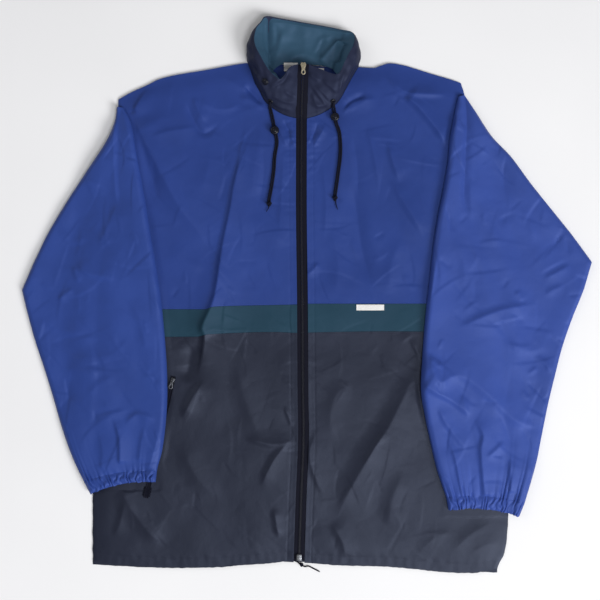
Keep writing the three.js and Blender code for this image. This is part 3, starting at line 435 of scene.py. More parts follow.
SLEEVE_CREASES = creases(
    # left sleeve: the armhole's line, the elbow, the forearm and above the cuff
    (((119.7, 100.6), (116, 122.5), (115, 153.8), (116.6, 190), (120, 208)), 3.4, 13, 4, 1, (0.08, 0.15)),
    (((120, 203), (111, 224), (99, 249)), 3.8, 7, 14, 1.6),
    (((77, 258), (83, 268), (92, 274), (118, 279.6)), 3.6, 5, 11, 1.1),
    (((74.4, 265), (77, 274), (81, 284)), 2.4, 4, 7, 1),
    (((58, 301.4), (67, 294), (75, 288)), 3.2, 5, 9, 1.1),
    (((89, 345), (93, 372), (93, 405), (90, 444)), 4.2, 17, 18, 4, (0.2, 0.2)),
    (((94, 419), (112, 413), (131, 409)), 2.4, 4, 10, 0.8),
    (((126, 425), (133, 417), (141, 413.3), (158, 419.6)), 3, 5, 9, 1),
    (((115, 416), (121, 436), (121.6, 464)), 4.6, 3.4, 13, 0.7, (0.3, 0.12)),
    (((148, 420), (143, 439), (140, 462)), 2.0, 4, 11, 0.8, (0.5, 0.15)),
    (((99, 424), (104, 448), (103, 470)), 1.5, 4, 11, 0.8, (0.5, 0.1)),
    (((84, 176), (98, 190), (110, 196)), 1.8, 7, 10, 2),
    (((58, 232), (74, 240), (92, 238)), 1.8, 6, 10, 2),
    (((40, 316), (62, 330), (90, 334)), 2, 7, 11, 2),
    (((130, 296), (142, 322), (148, 352)), 2.2, 7, 13, 2),
    (((66, 366), (86, 372), (108, 370)), 1.6, 7, 10, 2),
    (((88, 398), (100, 384), (118, 374)), 1.8, 6, 10, 2),
    # right sleeve: the armhole's line, the elbow, the forearm and above the cuff
    (((464, 90), (465.6, 122.5), (464, 163), (463, 200), (470, 215)), -3.2, 4, 7, 0.9, (0.08, 0.2)),
    (((468.6, 178), (469.4, 200), (470.4, 224)), 2.2, 5, 9, 1.2),
    (((454, 330), (476, 319), (500, 310), (522, 306), (538, 303.4)), 4.2, 6, 13, 1.2),
    (((515, 290), (518, 296), (522.4, 302)), 2.4, 4, 6, 1),
    (((542, 279.6), (555, 273), (570, 265)), 3.2, 5, 9, 1.1),
    (((543, 296), (552, 290), (563, 286)), 2.2, 5, 8, 1.2),
    (((421, 383), (434, 391), (447, 397.6), (459, 406), (472, 416)), 5.0, 5, 13, 0.8, (0.1, 0.25)),
    (((431, 350.6), (430, 366), (439, 381), (452, 375), (466, 378), (488, 395), (511, 417.4),
      (536, 428)), 5.4, 8, 17, 1.0, (0.12, 0.15)),
    (((532, 356.5), (544, 362.4), (550, 374)), 2.2, 4, 7, 1),
    (((526, 374), (531, 371), (536, 366.4)), 1.8, 4, 6, 1),
    (((473, 417), (481.6, 433), (479.6, 448), (481, 471), (484, 497)), 5.2, 4, 14, 0.7, (0.2, 0.06)),
    (((484, 457), (493, 450), (503, 440)), 3.0, 4, 9, 0.8),
    (((508, 457), (509, 471), (509, 492)), 3.2, 5, 10, 1.1, (0.3, 0.08)),
    (((447, 436), (455, 462), (460, 498)), 3.0, 4, 12, 0.8, (0.3, 0.1)),
    (((436, 404), (446, 424), (468, 452)), 3.4, 5, 13, 0.8, (0.25, 0.3)),
    (((492, 404), (504, 424), (512, 452)), -2.6, 6, 9, 1.0, (0.3, 0.3)),
    (((478, 200), (490, 226), (494, 250)), 2, 8, 13, 2),
    (((520, 206), (530, 226), (534, 244)), 1.8, 7, 11, 2),
    (((500, 340), (524, 350), (548, 348)), 1.8, 7, 11, 2),
    (((452, 236), (462, 262), (464, 288)), 1.9, 7, 12, 2),
)
BODY_SCATTER = scatter(300, (130, 80, 480, 560), 0.72, 201)
SLEEVE_SCATTER = (*scatter(130, (25, 120, 165, 465), 1.2, 202),
                  *scatter(170, (430, 110, 590, 490), 1.5, 203))
BACK_SCATTER = scatter(120, (100, 80, 500, 560), 0.9, 204)


def edge_x(side: Side, v: Grid) -> Grid:
    """The x of the body's side edge, a little uneven."""
    return read(SIDE_EDGE[side], v) + SIDE_WANDER * crumple(v, 0 * v + side.value + 4.4, 7, 21)


def hem_y(u: Grid) -> Grid:
    """The y of the hem's edge, which its gathered channel makes finely uneven."""
    return read(HEM, u) + HEM_WANDER * crumple(u, 0 * u + 0.4, 5, 22)


def inside_side(u: Grid, v: Grid) -> Grid:
    """Millimetres inwards from the nearer side edge, below 0 outside it."""
    left, right = u - edge_x(Side.LEFT, v), edge_x(Side.RIGHT, v) - u
    return np.where(u < CENTRE[0], left, right) * UNIT


def shoulder_y(u: Grid) -> Grid:
    """The y of the shoulder seams."""
    return np.where(u < CENTRE[0], read(SHOULDER[Side.LEFT], u), read(SHOULDER[Side.RIGHT], u))


def top_y(side: Side, u: Grid) -> Grid:
    """The y of a front's upper edge: the neckline, then the shoulder seam."""
    neck, shoulder = NECKLINE[side], SHOULDER[side]
    corner = neck[0][0] if side is Side.LEFT else neck[-1][0]
    return np.where((u - corner) * side.value > 0, read(shoulder, u), read(neck, u))


def roll(d: Grid) -> Grid:
    """How far cloth has risen at a distance from its rolled edge, 0 to 1."""
    return 1 - np.exp(-(np.maximum(d, 0) / EDGE_ROLL) ** 2)


def fullness(u: Grid, v: Grid) -> Grid:
    """The share of its loft that the front has, less at sides, shoulders and hem."""
    shoulder = (v - shoulder_y(u)) * UNIT
    hem = (read(HEM, u) - v) * UNIT
    return roll(inside_side(u, v)) * roll(shoulder) * (0.35 + 0.65 * roll(hem))


def clear_of_sleeve(u: Grid, v: Grid) -> Grid:
    """1 where the front shows, and 0 where a sleeve lies on it."""
    out = np.ones(np.broadcast(u, v).shape)
    for side in Side:
        rows = [[row[3], row[2]] for row in SLEEVE[side]]
        past = (u - read(rows, v)) * -side.value * UNIT
        at = (v > rows[0][0]) & (v < rows[-1][0] + 20) & ((u - CENTRE[0]) * side.value > 0)
        out = np.where(at, smooth((past - 1) / 9), out)
    return out


def front_folds(u: Grid, v: Grid) -> Grid:
    """Every fold and dimple of the fronts, in millimetres."""
    broad = 1.5 * crumple(u, v, 62, 11) + 0.5 * crumple(u, v, 30, 12)
    calm = 1 - 0.5 * smooth((v - 300) / 60)
    return 0.95 * all_lifts(BODY_CREASES, u, v) + calm * all_lifts(BODY_SCATTER, u, v) + broad


def front_top(u: Grid, v: Grid) -> Grid:
    """The upper face of the front cloth."""
    u, v = np.broadcast_arrays(np.asarray(u, float), np.asarray(v, float))
    folds = front_folds(u, v) * clear_of_sleeve(u, v)
    return BODY_BASE + fullness(u, v) * (BODY_LOFT + folds)


def plain_top(u: Grid, v: Grid) -> Grid:
    """The front's upper face without its folds, which carries what lies on it."""
    return BODY_BASE + fullness(u, v) * BODY_LOFT


def support(u: Grid, v: Grid, clear: Grid) -> Grid:
    """What a sleeve lies on: the front, then a drape down to the floor beside the body."""
    drape = smooth((inside_side(u, v) + DRAPE_START + DRAPE_RUN) / DRAPE_RUN)
    away = np.hypot(u - BUNCH_AT[0], v - BUNCH_AT[1]) * UNIT
    return drape * (plain_top(u, v) + clear + BUNCH_HEIGHT * np.exp(-(away / BUNCH_WIDTH) ** 2))


def normals(grid: Grid) -> Grid:
    """The unit normals of a grid of points."""
    n = np.cross(np.gradient(grid, axis=1), np.gradient(grid, axis=0))
    return n / np.maximum(np.linalg.norm(n, axis=-1, keepdims=True), 1e-9)


def upwards(grid: Grid) -> Grid:
    """The unit normals of a grid of points, on its upper side."""
    n = normals(grid)
    return n * np.sign(n[..., 2].sum())


def outwards(grid: Grid) -> Grid:
    """The unit normals of a grid of points round the collar, away from its middle."""
    n = normals(grid)
    return n * np.sign((n * (grid - NECK_MIDDLE)).sum())


def travel(line: Grid) -> Grid:
    """The distance along a line at each of its points."""
    return np.concatenate([[0], np.cumsum(np.linalg.norm(np.diff(line, axis=0), axis=1))])


def cad_box(node: str) -> tuple[Grid, Grid]:
    """The least and the greatest corner of a CAD node, in millimetres."""
    low, high = (np.array(corner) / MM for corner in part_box(node))
    return low, high


class Recipe:
    """A material and the nodes that make it."""

    def __init__(self, name: str) -> None:
        """Starts a material of that name with its main shader."""
        self.material = bpy.data.materials.new(name)
        self.material.use_nodes = True
        self.tree = self.material.node_tree
        self.shader = self.tree.nodes["Principled BSDF"]
        self.where = self.add("ShaderNodeTexCoord").outputs["Object"]

    def add(self, kind: str, options: dict | None = None, **values: object) -> bpy.types.Node:
        """Adds a node.

        Args:
            kind: Blender's name of the node's type.
            options: the node's own settings.
            values: values or links for its inputs, with _ for a space in a name.

        Returns:
            The node.
        """
        node = self.tree.nodes.new(kind)
        for key, value in (options or {}).items():
            setattr(node, key, value)
        for key, value in values.items():
            self.set(node, key.replace("_", " "), value)
        return node

    def set(self, node: bpy.types.Node, name: str | int, value: object) -> None:
        """Links a socket to an input of a node, or gives it a value."""
        socket = node.inputs[name]
        if isinstance(value, bpy.types.NodeSocket):
            self.tree.links.new(value, socket)
        else:
            socket.default_value = value

    def maths(self, operation: str, a: object, b: object) -> bpy.types.NodeSocket:
        """The result of a Math node."""
        node = self.add("ShaderNodeMath", {"operation": operation})
        self.set(node, 0, a)
        self.set(node, 1, b)
        return node.outputs[0]

    def noise(self, scale: float, detail: float = 3, rough: float = 0.5) -> bpy.types.NodeSocket:
        """Noise with that many bumps in a metre."""
        node = self.add("ShaderNodeTexNoise", Vector=self.where, Scale=scale, Detail=detail,
                        Roughness=rough)
        return node.outputs["Fac"]

    def ramp(self, fac: bpy.types.NodeSocket, low: float, high: float, a: Points,
             b: Points) -> bpy.types.NodeSocket:
        """A colour from a to b as fac goes from low to high."""
        node = self.add("ShaderNodeValToRGB", Fac=fac)
        stops = node.color_ramp.elements
        stops[0].position, stops[1].position = low, high
        stops[0].color, stops[1].color = (*a, 1), (*b, 1)
        return node.outputs["Color"]

    def bump(self, height: bpy.types.NodeSocket, distance: float, strength: float = 1,
             under: object = None) -> bpy.types.NodeSocket:
        """A bump of that depth in metres, on top of another if one is given."""
        node = self.add("ShaderNodeBump", Height=height, Distance=distance, Strength=strength)
        if under is not None:
            self.set(node, "Normal", under)
        return node.outputs["Normal"]

    def finish(self, **values: object) -> bpy.types.Material:
        """Sets the shader's own inputs and gives the material."""
        for key, value in values.items():
            self.set(self.shader, key.replace("_", " "), value)
        return self.material


@dataclass(frozen=True)
class ClothFinish:
    """Thin woven nylon: a fine plain weave, small crinkles, uneven dye and a soft sheen.

    gloss is the shader's mean roughness, shine its specular level and glint that light's colour.
    weave is the width of a yarn and crinkle the depth of the finest crinkles, in metres.
    """

    slot: str
    colour: tuple[float, float, float]
    gloss: float = 0.5
    sheen: float = 0.03
    tint: tuple[float, float, float] = (0.3, 0.4, 0.8)
    shine: float = 0.26
    variant: str = ""
    weave: float = 0.0006
    crinkle: float = 0.0005
    glint: tuple[float, float, float] = (0.5, 0.62, 1.0)

    def material(self) -> bpy.types.Material:
        """The finish as a material.

        Returns:
            A material with weave and crinkles in its bump and dye in its colour.
        """
        recipe = Recipe(f"{self.slot}{self.variant}_finish")
        per_metre = 2 * math.pi / 20 / self.weave
        warp, weft = (recipe.add("ShaderNodeTexWave", {"bands_direction": way}, Scale=per_metre,
                                 Vector=recipe.where).outputs["Fac"] for way in "XY")
        weave = recipe.maths("MULTIPLY", warp, weft)
        fibre = recipe.bump(weave, 0.00004, 0.5)
        small = recipe.bump(recipe.noise(60, 4, 0.55), self.crinkle, 0.6, fibre)
        for scale, depth in ((9, self.crinkle * 3), (26, self.crinkle * 1.6)):
            fold = recipe.maths("ABSOLUTE", recipe.maths("SUBTRACT", recipe.noise(scale, 2, 0.5), 0.5), 0)
            small = recipe.bump(fold, depth, 1, small)
        dye = recipe.noise(9, 4, 0.6)
        dark = tuple(c * 0.9 for c in self.colour)
        light = tuple(min(1, c * 1.1) for c in self.colour)
        return recipe.finish(
            Base_Color=recipe.ramp(dye, 0.3, 0.7, dark, light),
            Roughness=recipe.maths("ADD", recipe.maths("MULTIPLY", dye, 0.12), self.gloss - 0.06),
            Normal=small, Sheen_Weight=self.sheen, Sheen_Roughness=0.45, Specular_IOR_Level=self.shine,
            Sheen_Tint=(*self.tint, 1), Specular_Tint=(*self.glint, 1))


@dataclass(frozen=True)
class HardFinish:
    """Metal or moulded plastic with fine wear in its gloss."""

    slot: str
    colour: tuple[float, float, float]
    metal: float
    gloss: float
    grain: float = 900
    variant: str = ""

    def material(self) -> bpy.types.Material:
        """The finish as a material.

        Returns:
            A material whose gloss and colour vary with small scuffs.
        """
        recipe = Recipe(f"{self.slot}{self.variant}_finish")
        scuff = recipe.noise(self.grain, 4, 0.6)
        dark = tuple(c * 0.75 for c in self.colour)
        return recipe.finish(
            Base_Color=recipe.ramp(scuff, 0.3, 0.6, dark, self.colour), Metallic=self.metal,
            Roughness=recipe.maths("ADD", recipe.maths("MULTIPLY", scuff, 0.2), self.gloss - 0.1),
            Normal=recipe.bump(scuff, 0.00004, 0.6), Specular_IOR_Level=0.5 if self.metal else 0.25)


@dataclass(frozen=True)
class YarnFinish:
    """Thread, cord, tape or label cloth: fibres in the bump and no shine."""

    slot: str
    colour: tuple[float, float, float]
    fibre: float = 1800
    rough: float = 0.8

    def material(self) -> bpy.types.Material:
        """The finish as a material.

        Returns:
            A matt material with fibres.
        """
        recipe = Recipe(f"{self.slot}_finish")
        fibre = recipe.noise(self.fibre, 4, 0.7)
        dark = tuple(c * 0.7 for c in self.colour)
        return recipe.finish(
            Base_Color=recipe.ramp(fibre, 0.3, 0.7, dark, self.colour), Roughness=self.rough,
            Normal=recipe.bump(fibre, 0.00012, 0.8), Sheen_Weight=0.02, Sheen_Roughness=0.5,
            Specular_IOR_Level=0.12)


class Finish(Enum):
    """Every finish on the jacket."""

    BLUE = ClothFinish("shell_blue", (0.0185, 0.041, 0.190))
    # The sleeves are lighter copies of the body's blue: painted light for the brighter light that they
    # catch.
    LEFT_SLEEVE = ClothFinish("shell_blue", (0.0215, 0.0475, 0.214), variant="_left_sleeve")
    RIGHT_SLEEVE = ClothFinish("shell_blue", (0.0285, 0.0575, 0.252), variant="_right_sleeve")
    TEAL = ClothFinish("shell_teal", (0.0135, 0.0405, 0.063), shine=0.18)
    # The lining is a lighter copy of the teal: painted light for the lit inside of the collar.
    LINING = ClothFinish("shell_teal", (0.026, 0.066, 0.110), variant="_lining")
    NAVY = ClothFinish("shell_navy", (0.0062, 0.0072, 0.0156), shine=0.44, glint=(0.62, 0.72, 1.0))
    COLLAR = ClothFinish("shell_navy", (0.0142, 0.017, 0.037), shine=0.16, variant="_collar")
    ZIP_CLOTH = YarnFinish("zip_cloth", (0.0045, 0.005, 0.013))
    ZIP_TEETH = HardFinish("zip_teeth", (0.007, 0.008, 0.018), 0, 0.45)
    BRASS = HardFinish("pale_metal", (0.62, 0.55, 0.40), 1, 0.34)
    STEEL = HardFinish("grey_metal", (0.20, 0.21, 0.23), 1, 0.38)
    DARK_STEEL = HardFinish("grey_metal", (0.09, 0.095, 0.11), 1, 0.4, variant="_dark")
    CORD = YarnFinish("cord", (0.0045, 0.0055, 0.015))
    PLASTIC = HardFinish("black_plastic", (0.006, 0.007, 0.014), 0, 0.28)
    LABEL = YarnFinish("label_cloth", (0.80, 0.79, 0.78))

    @property
    def slot(self) -> str:
        """The record's slot that it belongs to."""
        return self.value.slot

    def material(self) -> bpy.types.Material:
        """Its material, made when it is first asked for."""
        name = f"{self.slot}{getattr(self.value, 'variant', '')}_finish"
        return bpy.data.materials.get(name) or self.value.material()


def make(name: str, points: Grid, faces: Sequence, finish: Finish, nodes: Sequence[str] = (),
         body: str = BODY) -> bpy.types.Object:
    """Makes one piece of the jacket.

    Args:
        name: the piece's name.
        points: its points in millimetres.
        faces: the point numbers of each face.
        finish: what it is made of.
        nodes: the CAD nodes that it stands for.
        body: the CAD body that it moves with.

    Returns:
        The object, with its material, riding on its body.
    """
    mesh = bpy.data.meshes.new(name)
    points = np.array(points, float)
    points[:, 2] = np.maximum(points[:, 2], 0)
    corners = faces.tolist() if isinstance(faces, np.ndarray) else faces
    mesh.from_pydata((points * MM).tolist(), [], corners)
    mesh.polygons.foreach_set("use_smooth", [True] * len(mesh.polygons))
    mesh.materials.append(finish.material())
    mesh.update()
    mesh.set_sharp_from_angle(angle=math.radians(48))
    obj = bpy.data.objects.new(name, mesh)
    bpy.context.scene.collection.objects.link(obj)
    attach(obj, body)
    finish.slot
    if nodes:
        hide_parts(*nodes)
    LOG.info("%s: %d faces", name, len(mesh.polygons))
    return obj


def shell(upper: Grid, lower: Grid) -> tuple[Grid, list]:
    """One closed skin between two grids of points that face each other.

    Args:
        upper: the face that shows.
        lower: the other face, in the same order, at the same points or at every third of them.

    Returns:
        The points and the corners of each face.
    """
    def quads(at: Grid) -> Grid:
        """The faces of one grid."""
        return np.stack([at[:-1, :-1], at[:-1, 1:], at[1:, 1:], at[1:, :-1]], -1).reshape(-1, 4)

    def border(at: Grid) -> Grid:
        """The points round a grid's edge."""
        return np.concatenate([at[0, :-1], at[:-1, -1], at[-1, :0:-1], at[:0:-1, 0]])

    fine = np.arange(upper.shape[0] * upper.shape[1]).reshape(upper.shape[:2])
    coarse = np.arange(lower.shape[0] * lower.shape[1]).reshape(lower.shape[:2]) + fine.size
    points = np.concatenate([upper.reshape(-1, 3), lower.reshape(-1, 3)])
    rim, under = border(fine).tolist(), border(coarse).tolist()
    step = len(rim) // len(under)
    rim, under = rim + rim[:1], under + under[:1]
    wall = [rim[k * step:(k + 1) * step + 1][::-1] + under[k:k + 2] for k in range(len(under) - 1)]
    top, bottom = quads(fine), quads(coarse)[:, ::-1]
    faces = [*top.tolist(), *bottom.tolist(), *wall]
    skin = np.concatenate([top, bottom])
    a, b, c, d = (points[skin[:, k]] for k in range(4))
    volume = (np.cross(a, b) * c).sum() + (np.cross(a, c) * d).sum()
    return points, faces if volume > 0 else [face[::-1] for face in faces]


def cloth(name: str, upper: Grid, finish: Finish, nodes: Sequence[str],
          lower: Grid | None = None) -> bpy.types.Object:
    """Args:
        name: the piece's name.
        upper: the points of its upper face, in millimetres.
        finish: its cloth.
        nodes: the CAD nodes that it stands for.
        lower: its lower face, where that isn't one thickness below the upper one.

    Returns:
        The panel.
    """
    step = 3 if (upper.shape[0] - 1) % 3 == 0 and (upper.shape[1] - 1) % 3 == 0 else 1
    if lower is None:
        lower = (upper - upwards(upper) * CLOTH)[::step, ::step]
    obj = make(name, *shell(upper, lower), finish, nodes)
    return obj


def beside(line: Points, shift: float) -> Callable[[Grid], Grid]:
    """Gives a function for the y of a seam line, moved by a shift, at an x."""
    return lambda u: read(line, u) + shift


def panels(head: Callable | None) -> tuple[tuple[str, Callable, Callable | None, Finish], ...]:
    """The upper panel, the band and the lower panel of a front or of the back.

    Args:
        head: gives the y of the upper panel's upper edge at an x, where the caller has it.

    Returns:
        Each one's name, the y of its lower and of its upper edge, and its cloth.
    """
    return (("upper", beside(BAND_TOP, -SEAM), head, Finish.BLUE),
            ("band", beside(BAND_FOOT, -SEAM), beside(BAND_TOP, SEAM), Finish.TEAL),
            ("lower", hem_y, beside(BAND_FOOT, SEAM), Finish.NAVY))


@dataclass
class Fronts:
    """The two fronts, each an upper panel, a contrast band and a lower panel.

    placket and hem_depth are where the topstitching runs, in layout steps from the zip's line and
    from the hem. The other sizes are millimetres.
    """

    columns: int = 211
    rows: tuple[int, int, int] = (211, 28, 202)
    edge_fold: float = 0.45
    fold_width: float = 4.0
    side_height: float = 1.2
    side_round: float = 5.0
    placket: float = 12.0
    hem_depth: float = 9.0
    stitch_sink: float = 0.2
    groove: float = 1.6
    ripple: float = 0.3

    def across(self, side: Side, v: Grid, share: Grid) -> Grid:
        """The x at a share of the way from the zip to the side."""
        return mix(read(ZIP_LINE, v) + side.value * ZIP_HALF, edge_x(side, v), share)

    def panel(self, side: Side, lower: Callable, upper: Callable | None, rows: int) -> Grid:
        """The upper face of one panel.

        Args:
            side: left or right front.
            lower: gives the y of its lower edge at an x.
            upper: gives the y of its upper edge, or None where that is neckline and shoulder.
            rows: how many rows of points it has.

        Returns:
            Its points in millimetres.
        """
        neck, shoulder = NECKLINE[side], SHOULDER[side]
        zip_top, side_top = (neck[-1], shoulder[0]) if side is Side.LEFT else (neck[0], shoulder[-1])
        share = np.linspace(0, 1, self.columns)
        share = 0.55 * share + 0.45 * share ** 1.8
        u0 = mix(zip_top[0], side_top[0], share)
        foot = self.across(side, lower(u0), share)
        v_foot = lower(foot)
        head = self.across(side, upper(u0), share) if upper else u0
        v_head = upper(head) if upper else top_y(side, u0)
        t = np.linspace(0, 1, rows)[:, None]
        v = mix(v_foot, v_head, t)
        bend = self.across(side, v, share) - mix(self.across(side, v_foot, share),
                                                 self.across(side, v_head, share), t)
        u = mix(foot, head, t) + bend
        return place(u, v, self.height(side, u, v))

    def height(self, side: Side, u: Grid, v: Grid) -> Grid:
        """The cloth's upper face: its folds, the fold along the zip, the hem and the side edge."""
        z = front_top(u, v)
        from_zip = (u - read(ZIP_LINE, v)) * side.value * UNIT - ZIP_HALF * UNIT
        z = z + self.edge_fold * np.exp(-(from_zip / self.fold_width) ** 2) + self.puckers(u, v)
        from_side = np.maximum(inside_side(u, v), 0)
        share = 0.15 + 0.85 * np.sqrt(np.clip(from_side / self.side_round, 0, 1))
        return self.side_height + (z - self.side_height) * share

    def puckers(self, u: Grid, v: Grid) -> Grid:
        """The grooves of the topstitching along the zip and the hem, and the ripples beside them."""
        off = (np.abs(u - read(ZIP_LINE, v)) - self.placket) * UNIT
        below_neck = smooth((v - 118) / 6)
        up = (read(HEM, u) - v - self.hem_depth) * UNIT
        grooves = np.exp(-(off / self.groove) ** 2) * below_neck + np.exp(-(up / self.groove) ** 2)
        strong = 0.12 + 1.0 * np.exp(-((v - 128) / 42) ** 2)
        near_zip = np.exp(-(off / 9) ** 2) * below_neck
        near_hem = smooth((up + 14) / 4) * smooth((9 - up) / 6)
        return (-self.stitch_sink * grooves + strong * crumple(u * 0.5 + v * 0.35, v, 5.5, 41) * near_zip
                + self.ripple * crumple(u, v * 0.5, 6.5, 42) * near_hem)

    def build(self) -> None:
        """Makes all six panels."""
        for side in Side:
            for (part, lower, upper, finish), rows in zip(panels(None), self.rows):
                grid = self.panel(side, lower, upper, rows)
                cloth(f"front_{part}_{side.word}_cloth", grid, finish, [f"front_{part}_{side.word}"])


@dataclass
class Backs:
    """The back, flat on the floor: upper panel, band and lower panel."""

    columns: int = 110
    rows: tuple[int, int, int] = (70, 10, 72)
    highest_crease: float = 0.8

    def grid(self, lower: Callable, upper: Callable, rows: int, neck: bool) -> Grid:
        """The lower face of one panel, which only its small creases lift off the floor.

        Args:
            lower: gives the y of its lower edge at an x.
            upper: gives the y of its upper edge.
            rows: how many rows of points it has.
            neck: whether its upper edge is the shoulders and the back of the neck.

        Returns:
            Its points in millimetres.
        """
        first, last = SHOULDER[Side.LEFT][0][0], SHOULDER[Side.RIGHT][-1][0]
        u0 = np.linspace(first, last, self.columns)
        t = np.linspace(0, 1, rows)[:, None]
        v = mix(lower(u0), upper(u0), t)
        wide = mix(edge_x(Side.LEFT, v), edge_x(Side.RIGHT, v), (u0 - first) / (last - first))
        u = mix(wide, u0, smooth((t - 0.8) / 0.2)) if neck else wide
        lift = all_lifts(BACK_SCATTER, u, v) + 0.3 * crumple(u, v, 60, 33)
        lift = np.clip(lift, 0, self.highest_crease)
        return place(u, v, lift)

    def neck_y(self, u: Grid) -> Grid:
        """The y of the back's upper edge: shoulders and the back of the neck."""
        left, right = BACK_NECKLINE[0][0], BACK_NECKLINE[-1][0]
        shoulder = np.where(u < left, read(SHOULDER[Side.LEFT], u), read(SHOULDER[Side.RIGHT], u))
        return np.where((u < left) | (u > right), shoulder, read(BACK_NECKLINE, u))

    def build(self) -> None:
        """Makes the three panels."""
        for (part, lower, upper, finish), rows in zip(panels(self.neck_y), self.rows):
            grid = self.grid(lower, upper, rows, part == "upper")
            cloth(f"back_{part}_cloth", grid + (0, 0, CLOTH), finish, [f"back_{part}"], lower=grid)


@dataclass
class Sleeve:
    """One sleeve and its cuff, each a folded tube made as a top and an under cloth.

    elbow and last are stations of the sleeve's table: where it bends and where its cuff starts.
    pleat is the height of the gathers and seat the gap under the top cloth, in millimetres.
    """

    side: Side
    gathers: int
    finish: Finish
    elbow: int = 7
    last: int = 15
    columns: int = 109
    rows: int = 292
    under_columns: int = 34
    under_rows: int = 80
    cuff_columns: int = 241
    cuff_rows: int = 22
    pleat: float = 4.0
    seat: float = 0.4

    def stations(self, at: Grid) -> Grid:
        """The sleeve's edges, loft and bow at places along it."""
        table = np.array(SLEEVE[self.side], float)
        straight = np.stack([np.interp(at, np.arange(len(table)), row) for row in table.T], -1)
        return mix(spline(table, at), straight, smooth(2 - np.abs(at - self.elbow))[:, None])

    def shares(self, columns: int) -> Grid:
        """Shares across, closer together at the folds."""
        x = np.linspace(0, 1, columns)
        return 0.45 * x + 0.55 * (1 - np.cos(math.pi * x)) / 2

    def spread(self, rows: Grid, shares: Grid) -> tuple[Grid, Grid, Grid]:
        """The layout points of rows across the sleeve.

        Args:
            rows: outer x, y, inner x, y, loft and bow of each row.
            shares: shares of the way from the inner to the outer fold.

        Returns:
            x, y, and each row's width in millimetres.
        """
        ou, ov, iu, iv, _, bow = (rows[:, k, None] for k in range(6))
        u = mix(iu, ou, shares)
        v = mix(iv, ov, shares) - bow * 4 * shares * (1 - shares)
        return u, v, np.hypot(ou - iu, ov - iv) * UNIT

    def arch(self, shares: Grid, width: Grid, loft: Grid) -> Grid:
        """The tube's rounded rise above what it lies on."""
        inwards = np.minimum(shares, 1 - shares) * width
        radius = np.minimum(FOLD_ROUND, width * 0.4)
        rise = np.sqrt(np.clip(1 - (1 - np.minimum(inwards / radius, 1)) ** 2, 0, 1))
        full = loft + BODY_BASE - self.seat
        return rise * (full - 0.3 * loft * smooth((inwards - radius) / (4 * FOLD_ROUND)))

    def clear(self, at: Grid) -> Grid:
        """How far the sleeve lies above the front, less where it starts."""
        return mix(WEDGE_CLEAR, SLEEVE_CLEAR, smooth(at / 3))

    def wave(self, shares: Grid, down: Grid | float = 0.0) -> Grid:
        """The cuff's uneven gathers across it, 0 to 1.

        Args:
            shares: shares of the way across.
            down: how far down the cuff, which makes the gathers wander.

        Returns:
            The share of the gathers' height.
        """
        shares, down = np.broadcast_arrays(shares, down)
        uneven = 0.7 * crumple(shares * 12, 1.6 * down + self.side.value + 4.5, 1, 51)
        phase = 2 * math.pi * (self.gathers * shares + uneven)
        tall = 0.68 + 0.75 * crumple(shares * 9, 2 * down + 2.5, 1, 52 + self.side.value)
        return (0.5 - 0.5 * np.cos(phase)) ** 0.55 * tall

    def top(self) -> Grid:
        """The sleeve's upper cloth.

        Returns:
            Its points in millimetres.
        """
        at = np.linspace(0, self.last, self.rows)
        rows, shares = self.stations(at), self.shares(self.columns)
        u, v, width = self.spread(rows, shares)
        loft = rows[:, 4, None]
        arch = self.arch(shares, width, loft)
        flat = smooth(2.4 * arch / (loft + 2.9) - 1.2)
        broad = 1.5 * crumple(u, v, 50, 61) + 0.5 * crumple(u, v, 26, 62)
        small = all_lifts(SLEEVE_SCATTER, u, v)
        reach = 0.46 + 0.42 * crumple(shares * 14, 0 * shares + 1.5, 1, 57)
        to_cuff = self.last - at[:, None]
        end = np.exp(-(to_cuff / reach))
        pleats = self.pleat * (self.wave(shares) - 0.45) * end
        seam = -0.3 * np.exp(-(to_cuff / 0.07) ** 2)
        folds = 0.9 * all_lifts(SLEEVE_CREASES, u, v) + (broad + small) * smooth((to_cuff + 0.2) / 0.8)
        lift = arch + folds * flat + (pleats + seam) * flat
        return place(u, v, support(u, v, self.clear(at)[:, None]) + self.seat + lift)

    def under(self) -> Grid:
        """The sleeve's under cloth, lying on the front and the floor.

        Returns:
            The points of its lower face, in millimetres.
        """
        at = np.linspace(0, self.last, self.under_rows)
        u, v, _ = self.spread(self.stations(at), self.shares(self.under_columns))
        lift = np.clip(0.4 * crumple(u, v, 24, 71), 0, 0.4)
        return place(u, v, support(u, v, self.clear(at)[:, None]) + lift)

    def cuff(self, columns: int, rows: int) -> tuple[Grid, Grid, Grid, Grid]:
        """The cuff's layout.

        Args:
            columns: points across it.
            rows: points along it.

        Returns:
            x, y and width of its points, and each row's share of the way to its edge.
        """
        t = np.linspace(0, 1, rows)[:, None]
        start, end = np.array(SLEEVE[self.side][-1], float), np.array(CUFF_END[self.side], float)
        u, v, width = self.spread(mix(start, end, t), np.linspace(0, 1, columns))
        return u, v, width, t

    def tapered(self, shares: Grid) -> Grid:
        """How far the cuff's gathers show across it, less at its folds."""
        return np.minimum(1, np.minimum(shares, 1 - shares) * 14)

